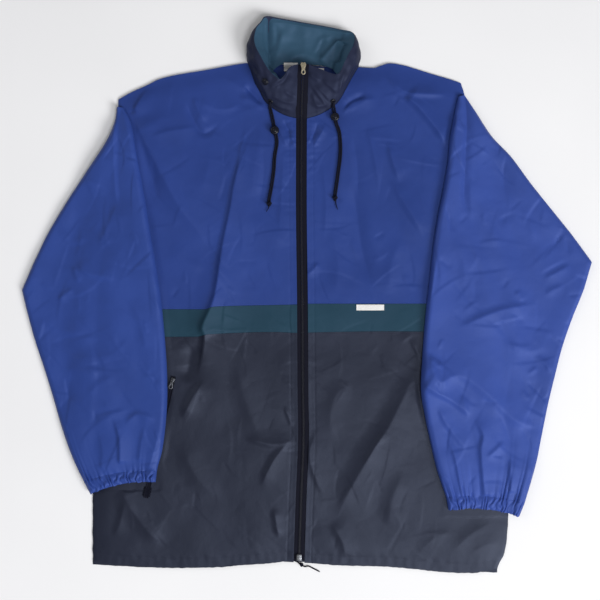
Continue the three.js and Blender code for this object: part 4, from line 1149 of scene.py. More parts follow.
    def build(self) -> None:
        """Makes the sleeve and its cuff."""
        word = self.side.word
        under = self.under()
        cloth(f"sleeve_{word}_under_cloth", under + (0, 0, CLOTH), self.finish,
              [f"sleeve_{word}_under"], lower=under)
        cloth(f"sleeve_{word}_top_cloth", self.top(), self.finish, [f"sleeve_{word}_top"])
        u, v, width, t = self.cuff(self.cuff_columns, self.cuff_rows)
        shares = np.linspace(0, 1, self.cuff_columns)
        arch = self.arch(shares, width, 5)
        wave = (self.wave(shares, 0.9 * t) - 0.45) * 0.8 * self.pleat * self.tapered(shares)
        tuck = -0.3 * np.exp(-(t / 0.1) ** 2) - 1.2 * np.exp(-((1 - t) / 0.1) ** 2)
        belly = 0.9 * np.sin(math.pi * t)
        scallop = 1.1 * (self.wave(shares, 0.9 * t) - 0.6) * smooth((t - 0.7) / 0.3)
        grid = place(u, v + scallop, support(u, v, SLEEVE_CLEAR) + self.seat
                     + arch * (1 + (wave + tuck + belly) / 8))
        cloth(f"cuff_{word}_top_cloth", grid, self.finish, [f"cuff_{word}_top"])
        u, v, width, t = self.cuff(self.cuff_columns // 2, 8)
        shares = np.linspace(0, 1, self.cuff_columns // 2)
        lift = 0.8 * self.wave(shares) * self.tapered(shares)
        low = place(u, v, support(u, v, SLEEVE_CLEAR) + lift)
        cloth(f"cuff_{word}_under_cloth", low + (0, 0, CLOTH), self.finish, [f"cuff_{word}_under"],
              lower=low)


# Collar stations from the zip's left side round the back to its right side: base x, y and height,
# rim x, y and height, and how far the middle swells out. A base height below 0 is the front's.
COLLAR = (
    (296.1, 119, -1, 298.2, 67.4, 27, 0, 0, 4), (287.5, 116.9, -1, 290.2, 70.2, 28, 0, 0, 4.5),
    (278, 112.6, -1, 285.6, 77, 29, -0.5, 0.5, 4.5), (269.3, 106.4, -1, 281, 82.6, 30, -0.8, 0.8, 4),
    (263.6, 100.3, -1, 276.4, 80.2, 31, -1, 1, 4), (259.4, 91.8, -1, 271.6, 76.4, 32, -1.4, 1, 4.5),
    (255, 84, -1, 266.4, 69.6, 33, -1.8, 0.6, 4.5), (250.8, 72, -1, 261.4, 61, 34, -2.4, 0, 4),
    (247.3, 63.3, -1, 256.4, 51, 34, -3.2, -1, 2), (249, 62.2, 3, 254.4, 42, 31, -4.6, -3, 0),
    (253, 62.4, 1.2, 256.4, 32, 26, -4.4, -5.5, -1.5), (259, 62.8, 0.4, 261, 24.4, 21, -3, -6, -3),
    (268, 63, 0, 267, 18.6, 16, -1, -4, -4), (283, 63.4, 0, 283, 20.6, 13, 0, -2, -4.5),
    (303, 64.2, 0, 303, 24.2, 12, 0, -2, -4.5), (322, 65.2, 0, 322, 27.4, 12, 0, -2, -4.5),
    (340, 66, 0, 338, 31, 14, 1, -3, -4.5), (350, 66.2, 0.6, 350.4, 34.4, 19, 3, -4, -3),
    (356, 66.4, 2, 354.6, 40.6, 25, 3.6, -3, -1), (358.5, 67.5, -1, 352.6, 49.4, 31, 4, -1.4, 1),
    (354.5, 74, -1, 348.6, 57, 33, 3, 0, 3), (350, 82, -1, 344.4, 65, 33, 2.4, 0, 4),
    (344.5, 92.5, -1, 341, 72.6, 32, 1.6, 0.6, 4.5), (339, 101.5, -1, 337.2, 77.6, 31, 1, 0.6, 4.5),
    (333, 107.4, -1, 331, 76.8, 30, 0.6, 0.6, 4.5), (326.3, 111.7, -1, 323, 73.6, 29, 0.4, 0, 4.5),
    (317.6, 116, -1, 314.2, 70, 28, 0, 0, 4.5), (306.9, 119.3, -1, 308.6, 67.4, 27, 0, 0, 4),
)
# The lining seen inside the collar, in rows from its foot up to the rim at the back.
LINING = (
    ((280, 81.4, 28), (277.4, 77, 17), (274.2, 70.6, 7), (285, 64, 3.6), (303, 65, 3.6),
     (322, 66.4, 3.8), (331.4, 69.6, 7), (333.4, 72.8, 17), (336, 76.4, 28)),
    ((270.4, 72.6, 29.5), (270.8, 68.2, 18), (271, 62, 7), (284.6, 58, 4), (303, 59, 4),
     (320.6, 60, 4.4), (332.4, 62, 7), (336.6, 63.6, 18), (343.2, 66, 30)),
    ((263, 59, 30.5), (266, 56.6, 18), (269.6, 53, 7), (284.2, 50, 4.4), (303, 51, 4.4),
     (319.6, 52, 4.8), (333.4, 53.6, 7.5), (339.4, 54.4, 18), (348, 56.6, 30)),
    ((258.4, 49.6, 30.5), (262.6, 48, 18), (268.8, 45, 7.5), (283.8, 42, 5.4), (303, 43, 5.2),
     (320, 44.4, 5.8), (335, 45.4, 8.5), (341.6, 46.4, 18), (350.4, 48.6, 28)),
    ((256.8, 41.4, 28), (261.4, 40, 18), (268.4, 36.4, 9), (283.6, 33.6, 8), (303, 35, 7.6),
     (321, 37.4, 8), (338, 39.6, 11), (344.6, 40.8, 17), (351.6, 42.2, 23)),
    ((258.6, 33.4, 24), (262.4, 31.6, 17), (268.2, 28.4, 12), (283.2, 27, 11.2), (303, 29.6, 10.8),
     (321.6, 32.6, 11), (339.6, 35.6, 14), (345.8, 36.4, 17.5), (350.8, 37.4, 21)),
    ((263, 24.6, 20.5), (265, 22.8, 19), (268.4, 21.4, 18), (283, 21.8, 16.4), (303, 25.4, 15.4),
     (322, 28.6, 15.4), (338.6, 32.4, 17), (344.4, 33.8, 19), (348.6, 35.4, 21.4)),
)
COLLAR_CREASES = creases(
    (((271, 92), (278, 88), (285, 84), (290, 73)), -1.0, 3, 5, 0.6, (0.2, 0.2)),
    (((309, 85), (316, 94), (324, 104), (328, 110)), 1.3, 2.4, 6, 0.5),
    (((315, 87), (323, 95), (331, 104)), 1.2, 2.4, 6, 0.5),
    (((321, 82), (330, 89), (337, 96)), 1.0, 2.4, 6, 0.5),
    (((309, 104), (318, 107), (328, 106)), 1.0, 2.4, 5, 0.5),
    (((309, 74), (313, 80), (321, 84)), 0.9, 3, 4, 0.6),
    (((311, 94), (314, 101), (319, 111)), 0.9, 2.4, 5, 0.5),
    (((271, 103), (280, 108), (293, 112)), 1.2, 2.4, 5, 0.5),
    (((271, 97), (283, 103), (296, 105)), 1.0, 2.4, 5, 0.5),
    (((284, 92), (290, 97), (297, 98)), 0.8, 3, 4, 0.6),
    (((256, 70), (260, 82), (266, 92)), 1.2, 3, 5, 0.6),
    (((252, 56), (258, 66), (263, 77)), 1.2, 3, 5, 0.6),
    (((262, 84), (266, 92), (270, 102)), 1.1, 3, 4, 0.6),
    (((251, 66), (257, 75), (262, 80), (269, 84)), -1.2, 3, 4, 0.6),
    (((344, 72), (341, 84), (338, 97)), 1.3, 3, 5, 0.6),
    (((350, 62), (347, 76), (342, 88)), 1.3, 3, 5, 0.6),
    (((356, 52), (353, 66), (348, 78)), 1.2, 3, 5, 0.6),
)
LINING_CREASES = creases(
    (((268.6, 16), (269.4, 40), (270.4, 60), (272, 76)), -4.4, 2, 5, 0.4, (0.12, 0.04)),
    (((284, 28), (280, 44), (276, 62)), 2.6, 5, 9, 1),
    (((274, 24), (277, 38), (275, 50)), -1.3, 4, 5, 1),
    (((300, 30), (306, 42), (304, 58)), 1.2, 6, 10, 1.5),
    (((341, 42), (333, 48), (324, 58), (318, 64)), 4.4, 6, 8, 0.6, (0.1, 0.2)),
    (((343, 44), (338, 54), (335, 66)), -5.4, 5, 5, 0.8, (0.1, 0.2)),
    (((334, 36), (322, 42), (314, 54)), 1.6, 5, 8, 0.8),
    (((326, 38), (320, 47), (317, 60)), -2.6, 3, 6, 0.8),
    (((286, 60), (300, 55), (316, 57)), 1.3, 5, 7, 1),
)


@dataclass
class Collar:
    """The stand collar: a navy outer cloth, its contrast lining and the facings beside the zip.

    front_stations is how many stations a facing spans. rim_pull is how far the lining's edges are
    drawn to the rim, over the shares rim_side of its width and rim_top of its height. The last
    four sizes are millimetres: the outer cloth's thickness with its seams, how far its foot stands
    in from the neckline, how far the lining lies above its table, and how far a facing lies inside
    the outer face.
    """

    columns: int = 262
    rows: int = 46
    lining_size: int = 82
    facing_columns: int = 24
    front_stations: int = 4
    rim_pull: float = 0.84
    rim_side: float = 0.16
    rim_top: float = 0.14
    thick: float = 1.1
    foot_inset: float = 0.6
    lining_lift: float = 1.2
    facing_depth: float = 2.6

    def face(self, at: Grid, t: Grid) -> Grid:
        """Points of the outer face before its wrinkles.

        Args:
            at: places round the collar, in stations.
            t: shares of the way from the neckline to the rim.

        Returns:
            Points in millimetres, in rows of t and columns of at.
        """
        stations = np.array(COLLAR, float)
        rests = stations[:, 2] < 0
        stations[rests, 2] = plain_top(stations[rests, 0], stations[rests, 1])
        foot = place(stations[:, 0], stations[:, 1], stations[:, 2])
        rim = place(stations[:, 3], stations[:, 4], stations[:, 5])
        inwards = rim[:, :2] - foot[:, :2]
        foot[:, :2] += self.foot_inset * inwards / np.linalg.norm(inwards, axis=1, keepdims=True)
        swell = stations[:, 6:] * (UNIT, -UNIT, 1)
        foot, rim, swell = (spline(part, at)[None] for part in (foot, rim, swell))
        t = t[:, None, None]
        points = mix(foot, rim, t) + swell * 4 * t * (1 - t)
        points[..., 2] = np.maximum(points[..., 2], 0)
        return points

    def wrinkled(self, points: Grid, at: Grid, t: Grid) -> Grid:
        """The outer face with its wrinkles, its puckered seam and its rolled rim."""
        u, v = points[..., 0] / UNIT + CENTRE[0], CENTRE[1] - points[..., 1] / UNIT
        lift = 1.7 * all_lifts(COLLAR_CREASES, u, v)
        lift += 0.9 * crumple(at[None] * 9 + 0 * t[:, None], t[:, None] * 40, 9, 81)
        seam = np.exp(-(t[:, None] / 0.09) ** 2)
        lift += seam * (0.7 * crumple(at[None] * 10 + 0 * t[:, None], 0 * t[:, None] + 3.3, 3, 83) - 0.5)
        lift *= smooth(t[:, None] * 7) * 0.7 + 0.3
        return points + outwards(points) * lift[..., None]

    def build(self) -> None:
        """Makes the four cloths of the collar."""
        at = np.linspace(0, len(COLLAR) - 1, self.columns)
        t = np.linspace(0, 1, self.rows)
        ring = self.face(at, t)
        outer = self.wrinkled(ring, at, t)
        cloth("collar_outer_cloth", outer, Finish.COLLAR, ["collar_outer"],
              lower=(outer - outwards(ring) * self.thick)[::3, ::3])
        grid = self.reach_rim(self.lining(), outer[-1])
        # The lining takes the lighter teal, which has painted light in it.
        cloth("collar_lining_cloth", grid, Finish.LINING, ["collar_lining"])
        last = len(COLLAR) - 1
        span = self.front_stations - 1
        for side, ends in ((Side.LEFT, (0, span)), (Side.RIGHT, (last - span, last))):
            part = self.face(np.linspace(*ends, self.facing_columns), t[::2])
            # The facings take the same lighter teal, with its painted light.
            cloth(f"collar_facing_{side.word}_cloth", part - upwards(part) * self.facing_depth,
                  Finish.LINING, [f"collar_facing_{side.word}"])

    def lining(self) -> Grid:
        """The lining with its wrinkles, before its edges are drawn up to the rim.

        Returns:
            Its points in millimetres, from its foot to its top edge.
        """
        size = self.lining_size
        where = np.linspace(0, len(LINING) - 1, size)
        over = np.linspace(0, len(LINING[0]) - 1, size)
        rows = np.array(LINING, float)
        wide = np.stack([spline(row, over) for row in rows])
        fine = np.stack([spline(wide[:, k], where) for k in range(size)], axis=1)
        u, v = fine[..., 0], fine[..., 1]
        grid = place(u, v, fine[..., 2] + self.lining_lift)
        lift = all_lifts(LINING_CREASES, u, v) + 0.7 * crumple(u, v, 13, 91) + 0.3 * crumple(u, v, 6, 92)
        return grid + upwards(grid) * lift[..., None]

    def reach_rim(self, grid: Grid, rim: Grid) -> Grid:
        """Draws the lining's edges up to the outer cloth's rim.

        Args:
            grid: the lining's points, from its foot to its top edge.
            rim: points along the rim.

        Returns:
            The lining's points.
        """
        def pull(edge: Grid) -> Grid:
            """How far each point of an edge is from the rim."""
            away = np.linalg.norm(edge[:, None, :2] - rim[None, :, :2], axis=-1)
            return self.rim_pull * (rim[away.argmin(1)] - edge)

        s = np.linspace(0, 1, grid.shape[1])[None, :, None]
        t = np.linspace(0, 1, grid.shape[0])[:, None, None]
        west, east = (smooth(1 - share / self.rim_side) for share in (s, 1 - s))
        top = smooth(1 - (1 - t) / self.rim_top)
        sides = pull(grid[:, 0])[:, None] * west + pull(grid[:, -1])[:, None] * east
        return grid + sides * (1 - top) + pull(grid[-1])[None] * top

    def seat(self, at: float, t: float, lift: float) -> tuple[Grid, Grid]:
        """A place on the outer face.

        Args:
            at: its station.
            t: its share of the way up.
            lift: how far above the face it is.

        Returns:
            The point and the face's normal there.
        """
        step = 0.05
        ring = self.face(np.array([at - 1, at, at + 1.0]), np.array([t - step, t, t + step]))
        normal = np.cross(ring[1, 2] - ring[1, 0], ring[2, 1] - ring[0, 1])
        normal = normal / np.linalg.norm(normal)
        normal = normal if normal[2] > 0 else -normal
        return ring[1, 1] + normal * lift, normal


def tube(path: Grid, radius: Grid, sides: int = 14) -> tuple[Grid, list]:
    """A closed tube.

    Args:
        path: the centres of its rings.
        radius: the radius of each ring, or of each of its corners.
        sides: corners a ring.

    Returns:
        Its points and faces.
    """
    along = np.gradient(path, axis=0)
    along /= np.maximum(np.linalg.norm(along, axis=1, keepdims=True), 1e-9)
    across = np.zeros_like(path)
    first = np.cross(along[0], (0.3, 0.2, 1))
    across[0] = first / np.linalg.norm(first)
    for k in range(1, len(path)):
        turned = across[k - 1] - along[k] * (across[k - 1] @ along[k])
        across[k] = turned / np.linalg.norm(turned)
    up = np.cross(along, across)
    angle = np.linspace(0, 2 * math.pi, sides, endpoint=False)
    radius = np.asarray(radius, float)
    if radius.ndim < 2:
        radius = np.broadcast_to(radius, (len(path),))[:, None]
    radius = np.broadcast_to(radius, (len(path), sides))
    points = (path[:, None] + radius[..., None] * (np.cos(angle)[:, None] * across[:, None]
                                                   + np.sin(angle)[:, None] * up[:, None]))
    at = np.arange(len(path) * sides).reshape(len(path), sides)
    turn = np.roll(at, -1, axis=1)
    quads = np.stack([at[:-1], turn[:-1], turn[1:], at[1:]], -1).reshape(-1, 4).tolist()
    return points.reshape(-1, 3), [*quads, at[0][::-1].tolist(), at[-1].tolist()]


def joined(parts: Sequence[tuple[Grid, Sequence]]) -> tuple[Grid, list]:
    """Several bodies as one list of points and faces."""
    points, faces, shift = [], [], 0
    for more, sides in parts:
        points.append(np.asarray(more, float))
        faces += [[k + shift for k in face] for face in np.asarray(sides, object).tolist()]
        shift += len(more)
    return np.concatenate(points), faces


def lathe(profile: Points, sides: int = 28) -> tuple[Grid, list]:
    """A body turned about Z from radius and height pairs, closed where its radius is 0."""
    p = np.asarray(profile, float)
    angle = np.linspace(0, 2 * math.pi, sides, endpoint=False)
    points = np.stack([p[:, None, 0] * np.cos(angle), p[:, None, 0] * np.sin(angle),
                       np.broadcast_to(p[:, None, 1], (len(p), sides))], -1)
    at = np.arange(len(p) * sides).reshape(len(p), sides)
    turn = np.roll(at, -1, axis=1)
    quads = np.stack([at[:-1], turn[:-1], turn[1:], at[1:]], -1).reshape(-1, 4)
    return points.reshape(-1, 3), quads.tolist()


def aim(points: Grid, normal: Grid, spot: Grid) -> Grid:
    """Points made round Z, turned to a normal and moved to a spot."""
    turn = Vector((0, 0, 1)).rotation_difference(Vector(normal)).to_matrix()
    return points @ np.array(turn).T + spot


def plate(outline: Points, low: float, high: float, round_off: float = 0.3,
          holes: Sequence[Points] = ()) -> tuple[Grid, list]:
    """A flat plate with rounded edges.

    Args:
        outline: its corners, anticlockwise, in millimetres.
        low: the height of its lower face.
        high: the height of its upper face.
        round_off: how far its edges are rounded.
        holes: the corners of its holes.

    Returns:
        Its points and faces.
    """
    form = bmesh.new()
    rings = []
    for ring in (outline, *holes):
        verts = [form.verts.new((*p, low)) for p in ring]
        rings += [form.edges.new(pair) for pair in zip(verts, verts[1:] + verts[:1])]
    bmesh.ops.triangle_fill(form, edges=rings, use_beauty=True, use_dissolve=True)
    base = list(form.faces)
    lifted = bmesh.ops.extrude_face_region(form, geom=base)["geom"]
    bmesh.ops.translate(form, vec=(0, 0, high - low),
                        verts=[g for g in lifted if isinstance(g, bmesh.types.BMVert)])
    bmesh.ops.recalc_face_normals(form, faces=form.faces)
    sharp = [e for e in form.edges if e.calc_face_angle(0) > 0.9]
    bmesh.ops.bevel(form, geom=sharp, offset=round_off, segments=2, affect="EDGES", profile=0.6)
    form.verts.index_update()
    points = np.array([v.co for v in form.verts])
    faces = [[v.index for v in face.verts] for face in form.faces]
    form.free()
    return points, faces


def oval(width: float, length: float, count: int, middle: tuple[float, float]) -> Grid:
    """The corners of an oval, anticlockwise."""
    angle = np.linspace(0, 2 * math.pi, count, endpoint=False)
    return np.stack([middle[0] + width / 2 * np.cos(angle), middle[1] + length / 2 * np.sin(angle)], -1)


@dataclass(frozen=True)
class ZipStyle:
    """The sizes of a slider and its pull tab, in millimetres."""

    width: float
    length: float
    height: float
    tab_width: float = 7.0
    tab_length: float = 14.0
    tab_thick: float = 1.1

    def slider(self) -> tuple[Grid, list]:
        """The slider: two plates, the neck between them and the bridge for the tab."""
        w, h, z = self.width / 2, self.length / 2, self.height
        body = [(-w * 0.55, -h), (w * 0.55, -h), (w, h * 0.3), (w * 0.72, h * 0.92), (w * 0.28, h),
                (0, h * 0.78), (-w * 0.28, h), (-w * 0.72, h * 0.92), (-w, h * 0.3)]
        crown = [(x * 0.94, y * 0.94) for x, y in body]
        rail = [(-w * 0.16, -h * 0.62), (w * 0.16, -h * 0.62), (w * 0.2, h * 0.6), (-w * 0.2, h * 0.6)]
        return joined([plate(body, 0, z * 0.26, 0.25), plate(crown, z * 0.42, z * 0.7, 0.3),
                       plate(rail, z * 0.2, z, 0.25)])

    def tab(self) -> tuple[Grid, list]:
        """The pull tab, from its eye along -Y: a waisted plate with a long opening and a raised rim."""
        w, end, thick = self.tab_width / 2, -self.tab_length, self.tab_thick / 2
        turn = np.linspace(math.pi, 2 * math.pi, 11)
        round_end = [(w * math.cos(a), end + w + w * math.sin(a)) for a in turn]
        outline = [(-w * 0.62, -0.3), (-w * 0.5, -self.tab_length * 0.24), *round_end,
                   (w * 0.5, -self.tab_length * 0.24), (w * 0.62, -0.3), (w * 0.3, 0.2), (-w * 0.3, 0.2)]
        hole = oval(3.0, 4.6, 14, (0, end + w + 0.3))[::-1]
        eye = oval(1.8, 1.5, 10, (0, -1.6))[::-1]
        return plate(outline, -thick, thick, 0.28, [hole, eye])


# The step between the points of a cord's centreline, in millimetres.
CORD_STEP = 0.5


def evenly(points: Grid, step: float) -> Grid:
    """The points of a line, spaced a step apart."""
    run = travel(points)
    at = np.linspace(0, run[-1], max(4, int(run[-1] / step) + 1))
    return np.stack([np.interp(at, run, points[:, k]) for k in range(3)], -1)


def braided(path: Grid, radius: float, pitch: float = 3.2) -> tuple[Grid, list]:
    """A cord along a path, with a braid's crossing yarns in its surface and rounded ends."""
    sides, strands = 16, 4
    angle = strands * np.linspace(0, 2 * math.pi, sides, endpoint=False)
    turn = travel(path)[:, None] * 2 * math.pi / pitch
    yarns = np.maximum(np.cos(angle + turn), np.cos(angle - turn))
    return tube(path, radius * (0.93 + 0.09 * yarns), sides)


def overhand(size: float, pitch: float = 3.2) -> tuple[Grid, list]:
    """A pulled-tight overhand knot of that half width."""
    t = np.linspace(0, 2 * math.pi, 90)
    loop = np.stack([(np.sin(t) + 1.6 * np.sin(2 * t)) / 2.6, (np.cos(t) - 1.6 * np.cos(2 * t)) / 2.6,
                     -0.5 * np.sin(3 * t)], -1)
    return braided(loop * size * 0.64, size * 0.36, pitch)


def turned(points: Grid, heading: float, spot: Grid) -> Grid:
    """Points turned about Z and moved to a spot."""
    c, s = math.cos(heading), math.sin(heading)
    return points @ np.array([[c, s, 0], [-s, c, 0], [0, 0, 1]]) + spot


def zip_top(v: Grid) -> Grid:
    """The height of the cloth along the zip: the front's face, then the collar's front."""
    start = COLLAR[0]
    t = np.clip((start[1] - v) / (start[1] - start[4]), 0, 1)
    foot = plain_top(np.array(start[0]), np.array(start[1]))
    collar = mix(foot, start[5], t) + start[8] * 4 * t * (1 - t)
    return np.where(v >= start[1], front_top(read(ZIP_LINE, v), v), collar)


@dataclass
class MainZip:
    """The front zip: woven tapes, moulded teeth, slider, pull tab and bottom box.

    head is the y of its upper end and chain_half half the teeth's width, in layout steps. The
    other sizes are millimetres.
    """

    head: float = 67.6
    chain_half: float = 1.4
    pitch: float = 2.1
    tape_depth: float = 0.35
    rib: float = 0.16
    rib_width: float = 0.9
    ridge: float = 0.5
    ridge_step: float = 2.6
    style: ZipStyle = ZipStyle(8.4, 9.5, 3.4)

    def tape(self, side: Side) -> None:
        """One tape, ribbed along its length."""
        v = np.linspace(self.head, ZIP_FOOT, 330)[:, None]
        d = np.linspace(self.chain_half - 0.1, ZIP_HALF + 0.5, 9)[None] * side.value
        u = read(ZIP_LINE, v) + d
        ribs = self.rib * np.cos(d * 2 * math.pi / self.rib_width)
        sway = 0.25 * crumple(v, 0 * v + side.value + 2.5, 14, 101)
        grid = place(u, v, zip_top(v) - self.tape_depth + ribs + sway)[:, ::side.value]
        cloth(f"zip_tape_{side.word}_cloth", grid, Finish.ZIP_CLOTH, [f"zip_tape_{side.word}"])

    def teeth(self) -> None:
        """The closed teeth, left and right in turn."""
        count = int((ZIP_FOOT - self.head) * UNIT / self.pitch)
        v = np.linspace(self.head + 1, ZIP_FOOT - 2, 2 * count)
        z = zip_top(v)
        w = self.chain_half * UNIT
        outline = [(-0.3, -0.42), (w * 0.55, -0.5), (w, -0.34), (w, 0.34), (w * 0.55, 0.5), (-0.3, 0.42)]
        tooth, faces = plate(outline, -1.0, 0.8, 0.18)
        core = tube(place(read(ZIP_LINE, v[::4]), v[::4], z[::4] - 0.45), 0.8, 6)
        parts = [core]
        for k, (down, height) in enumerate(zip(v, z)):
            flip = 1 if k % 2 else -1
            spot = place(read(ZIP_LINE, down), down, height)
            parts.append((tooth * (flip, flip, 1) + spot, faces))
        make("zip_teeth", *joined(parts), Finish.ZIP_TEETH, ["zip_chain"])

    def build(self) -> None:
        """Makes the tapes, the teeth and the fittings."""
        for side in Side:
            self.tape(side)
        self.teeth()
        low, high = cad_box("zip_slider")
        x, y, _ = (low + high) / 2
        points, faces = self.style.slider()
        make("zip_slider_body", points + (x, y, low[2]), faces, Finish.BRASS, ["zip_slider"])
        low, high = cad_box("zip_tab")
        points, faces = self.style.tab()
        spot = ((low[0] + high[0]) / 2, high[1], (low[2] + high[2]) / 2)
        make("zip_tab_plate", points + spot, faces, Finish.BRASS, ["zip_tab"], "zip_pull")
        self.box()

    def box(self) -> None:
        """The bottom box, with three grip ridges across it."""
        low, high = cad_box("zip_box")
        x, y, _ = (low + high) / 2
        w, h, _ = (high - low) / 2
        block = plate([(-w, -h), (w, -h), (w, h * 0.7), (w * 0.8, h), (-w * 0.8, h), (-w, h * 0.7)],
                      low[2], high[2], 0.4)
        a, r = w * 0.8, self.ridge
        ridges = [plate([(-a, k - r), (a, k - r), (a, k + r), (-a, k + r)], high[2] - 0.4, high[2] + r, 0.2)
                  for k in (-self.ridge_step, 0, self.ridge_step)]
        points, faces = joined([block, *ridges])
        make("zip_box_body", points + (x, y, 0), faces, Finish.STEEL, ["zip_box"])


@dataclass
class Pocket:
    """A slanted side pocket: a zip under its welt and a slider with a tab.

    top and foot are the ends of its line and half is half its zip's width, in layout steps. The
    other sizes are millimetres.
    """

    side: Side
    top: tuple[float, float]
    foot: tuple[float, float]
    half: float = 2.4
    lift: float = 0.55
    tooth: float = 0.35
    welt: float = 0.9
    pucker: float = 0.2
    style: ZipStyle = ZipStyle(6.4, 7.0, 2.0)

    def along(self, share: Grid) -> tuple[Grid, Grid]:
        """Layout points on the pocket's line."""
        return mix(self.top[0], self.foot[0], share), mix(self.top[1], self.foot[1], share)

    def build(self) -> None:
        """Makes the zip, its slider and its tab."""
        word = self.side.word
        share = np.linspace(0, 1, 90)[:, None]
        u, v = self.along(share)
        run = np.array(self.foot) - np.array(self.top)
        run = run / np.linalg.norm(run)
        w = np.linspace(-1, 1, 11)[None] * self.half
        teeth = self.tooth * np.exp(-(w / 0.6) ** 2) * (1 + 0.5 * np.sign(np.sin(share * 560)))
        welt = self.welt * smooth((np.abs(w) - 1.2) / 0.6)
        gu, gv = u - w * run[1], v + w * run[0]
        pucker = self.pucker * crumple(share * 60, w, 2, 111)
        grid = place(gu, gv, front_top(gu, gv) + self.lift + teeth + welt + pucker)
        cloth(f"pocket_zip_{word}_cloth", grid, Finish.ZIP_CLOTH, [f"pocket_zip_{word}"])
        heading = math.atan2(-run[1], run[0]) + math.pi / 2
        for part, body in (("slider", BODY), ("tab", "pocket_pull" if self.side is Side.LEFT else BODY)):
            low, high = cad_box(f"pocket_{part}_{word}")
            points, faces = self.style.slider() if part == "slider" else self.style.tab()
            spot = (low + high) / 2
            if part == "slider":
                spot[2] = low[2]
            else:
                spot[:2] -= np.array([run[0], -run[1]]) * self.style.tab_length / 2
            make(f"pocket_{part}_{word}_metal", turned(points, heading, spot), faces, Finish.DARK_STEEL,
                 [f"pocket_{part}_{word}"], body)


# Radius and height pairs, in millimetres, of the turned fittings: the ribbed lock with a sprung
# button in its top, the eyelet's ring and the snap's cap.
LOCK_PROFILE = [(0, -4), (4.6, -4), (5.6, -3.5), (6.3, -2.2), (6.3, -1.9), (6.0, -1.7), (6.5, -1.2),
                (6.6, 0), (6.5, 1.2), (6.0, 1.7), (6.3, 1.9), (6.3, 2.2), (5.6, 3.3), (4.4, 3.8),
                (4.0, 3.7), (3.8, 3.0), (3.4, 3.0), (3.3, 3.8), (2.8, 4.3), (1.2, 4.5), (0, 4.5)]
EYELET_PROFILE = [(1.5, -0.5), (3.7, -0.5), (3.9, 0), (3.5, 0.5), (2.6, 0.75), (1.8, 0.5), (1.5, 0),
                  (1.5, -0.5)]
SNAP_PROFILE = [(0, 0), (5, 0), (5.1, 0.5), (4.8, 1.0), (4.1, 1.3), (3.7, 1.2), (3.2, 1.6), (2.2, 2.0),
                (0.9, 2.1), (0, 2.1)]


@dataclass
class Drawcord:
    """A collar drawcord: two braided strands from the eyelet, through the lock, to a knot.

    strands, lock, knot and tail are layout points, and eyelet is a station and a share of the way
    up the collar. The other sizes are millimetres. The tail narrows to tail_taper of its radius,
    and route_points is how many points are picked from each strand's path.
    """

    side: Side
    strands: tuple[Points, Points]
    lock: tuple[float, float]
    knot: tuple[float, float]
    tail: Points
    eyelet: tuple[float, float]
    diameter: float = 2.6
    lift: float = 1.1
    eyelet_lift: float = 1.1
    lock_half: float = 4.0
    knot_size: float = 4.4
    knot_height: float = 2.6
    tail_radius: float = 0.9
    tail_taper: float = 0.55
    hump: float = 3.0
    hump_width: float = 9.0
    lead_start: float = 0.6
    lead_rise: float = 1.6
    route_points: int = 38

    def bed(self, u: Grid, v: Grid) -> Grid:
        """The height that the cord lies at."""
        return plain_top(np.asarray(u), np.asarray(v)) + self.lift

    def on_front(self, route: Points) -> Grid:
        """A route lying on the front, as points a short step apart."""
        line = spline(route, np.linspace(0, len(route) - 1, 60 * len(route)))
        base = self.bed(line[:, 0], line[:, 1]) + self.diameter / 2
        return evenly(place(line[:, 0], line[:, 1], base), CORD_STEP)

    def build(self, collar: Collar) -> None:
        """Makes the strands and what is on them.

        Args:
            collar: the collar, which carries the eyelet.
        """
        word = self.side.word
        spot, normal = collar.seat(*self.eyelet, self.eyelet_lift)
        points, faces = lathe(EYELET_PROFILE, 24)
        make(f"cord_eyelet_{word}_ring", aim(points, normal, spot), faces, Finish.PLASTIC,
             [f"cord_eyelet_{word}"])
        points, faces = lathe(LOCK_PROFILE, 36)
        at = place(*self.lock, self.bed(*self.lock) + self.lock_half)
        lock = make(f"cord_lock_{word}_barrel", points + at, faces, Finish.PLASTIC, [f"cord_lock_{word}"])
        points, faces = overhand(self.knot_size)
        at = place(*self.knot, self.bed(*self.knot) + self.knot_height)
        knot = make(f"cord_knot_{word}_tied", points + at, faces, Finish.CORD, [f"cord_knot_{word}"])
        path = self.on_front(self.tail)
        thin = np.linspace(1, self.tail_taper, len(path)) * self.tail_radius
        tail = make(f"cord_tail_{word}_end", *tube(path, thin, 12), Finish.CORD, [f"cord_tail_{word}"])
        for letter, route in zip("ab", self.strands):
            path = self.on_front(route)
            away = np.hypot(*(path - place(*self.lock, 0))[:, :2].T)
            path[:, 2] += self.hump * np.exp(-(away / self.hump_width) ** 2)
            share = np.linspace(0, 1, 14)[:, None]
            lead = mix(spot + normal * self.lead_start, path[0], share)
            lead = lead + self.lead_rise * share * (1 - share) * (0, 0, 1)
            path = evenly(np.vstack([lead[:-1], path]), CORD_STEP)
            points, faces = braided(path, self.diameter / 2)
            strand = make(f"cord_{word}_{letter}_braid", points, faces, Finish.CORD,
                          [f"cord_{word}_upper_{letter}", f"cord_{word}_lower_{letter}"])
            route = path[np.linspace(0, len(path) - 1, self.route_points).astype(int)] * MM


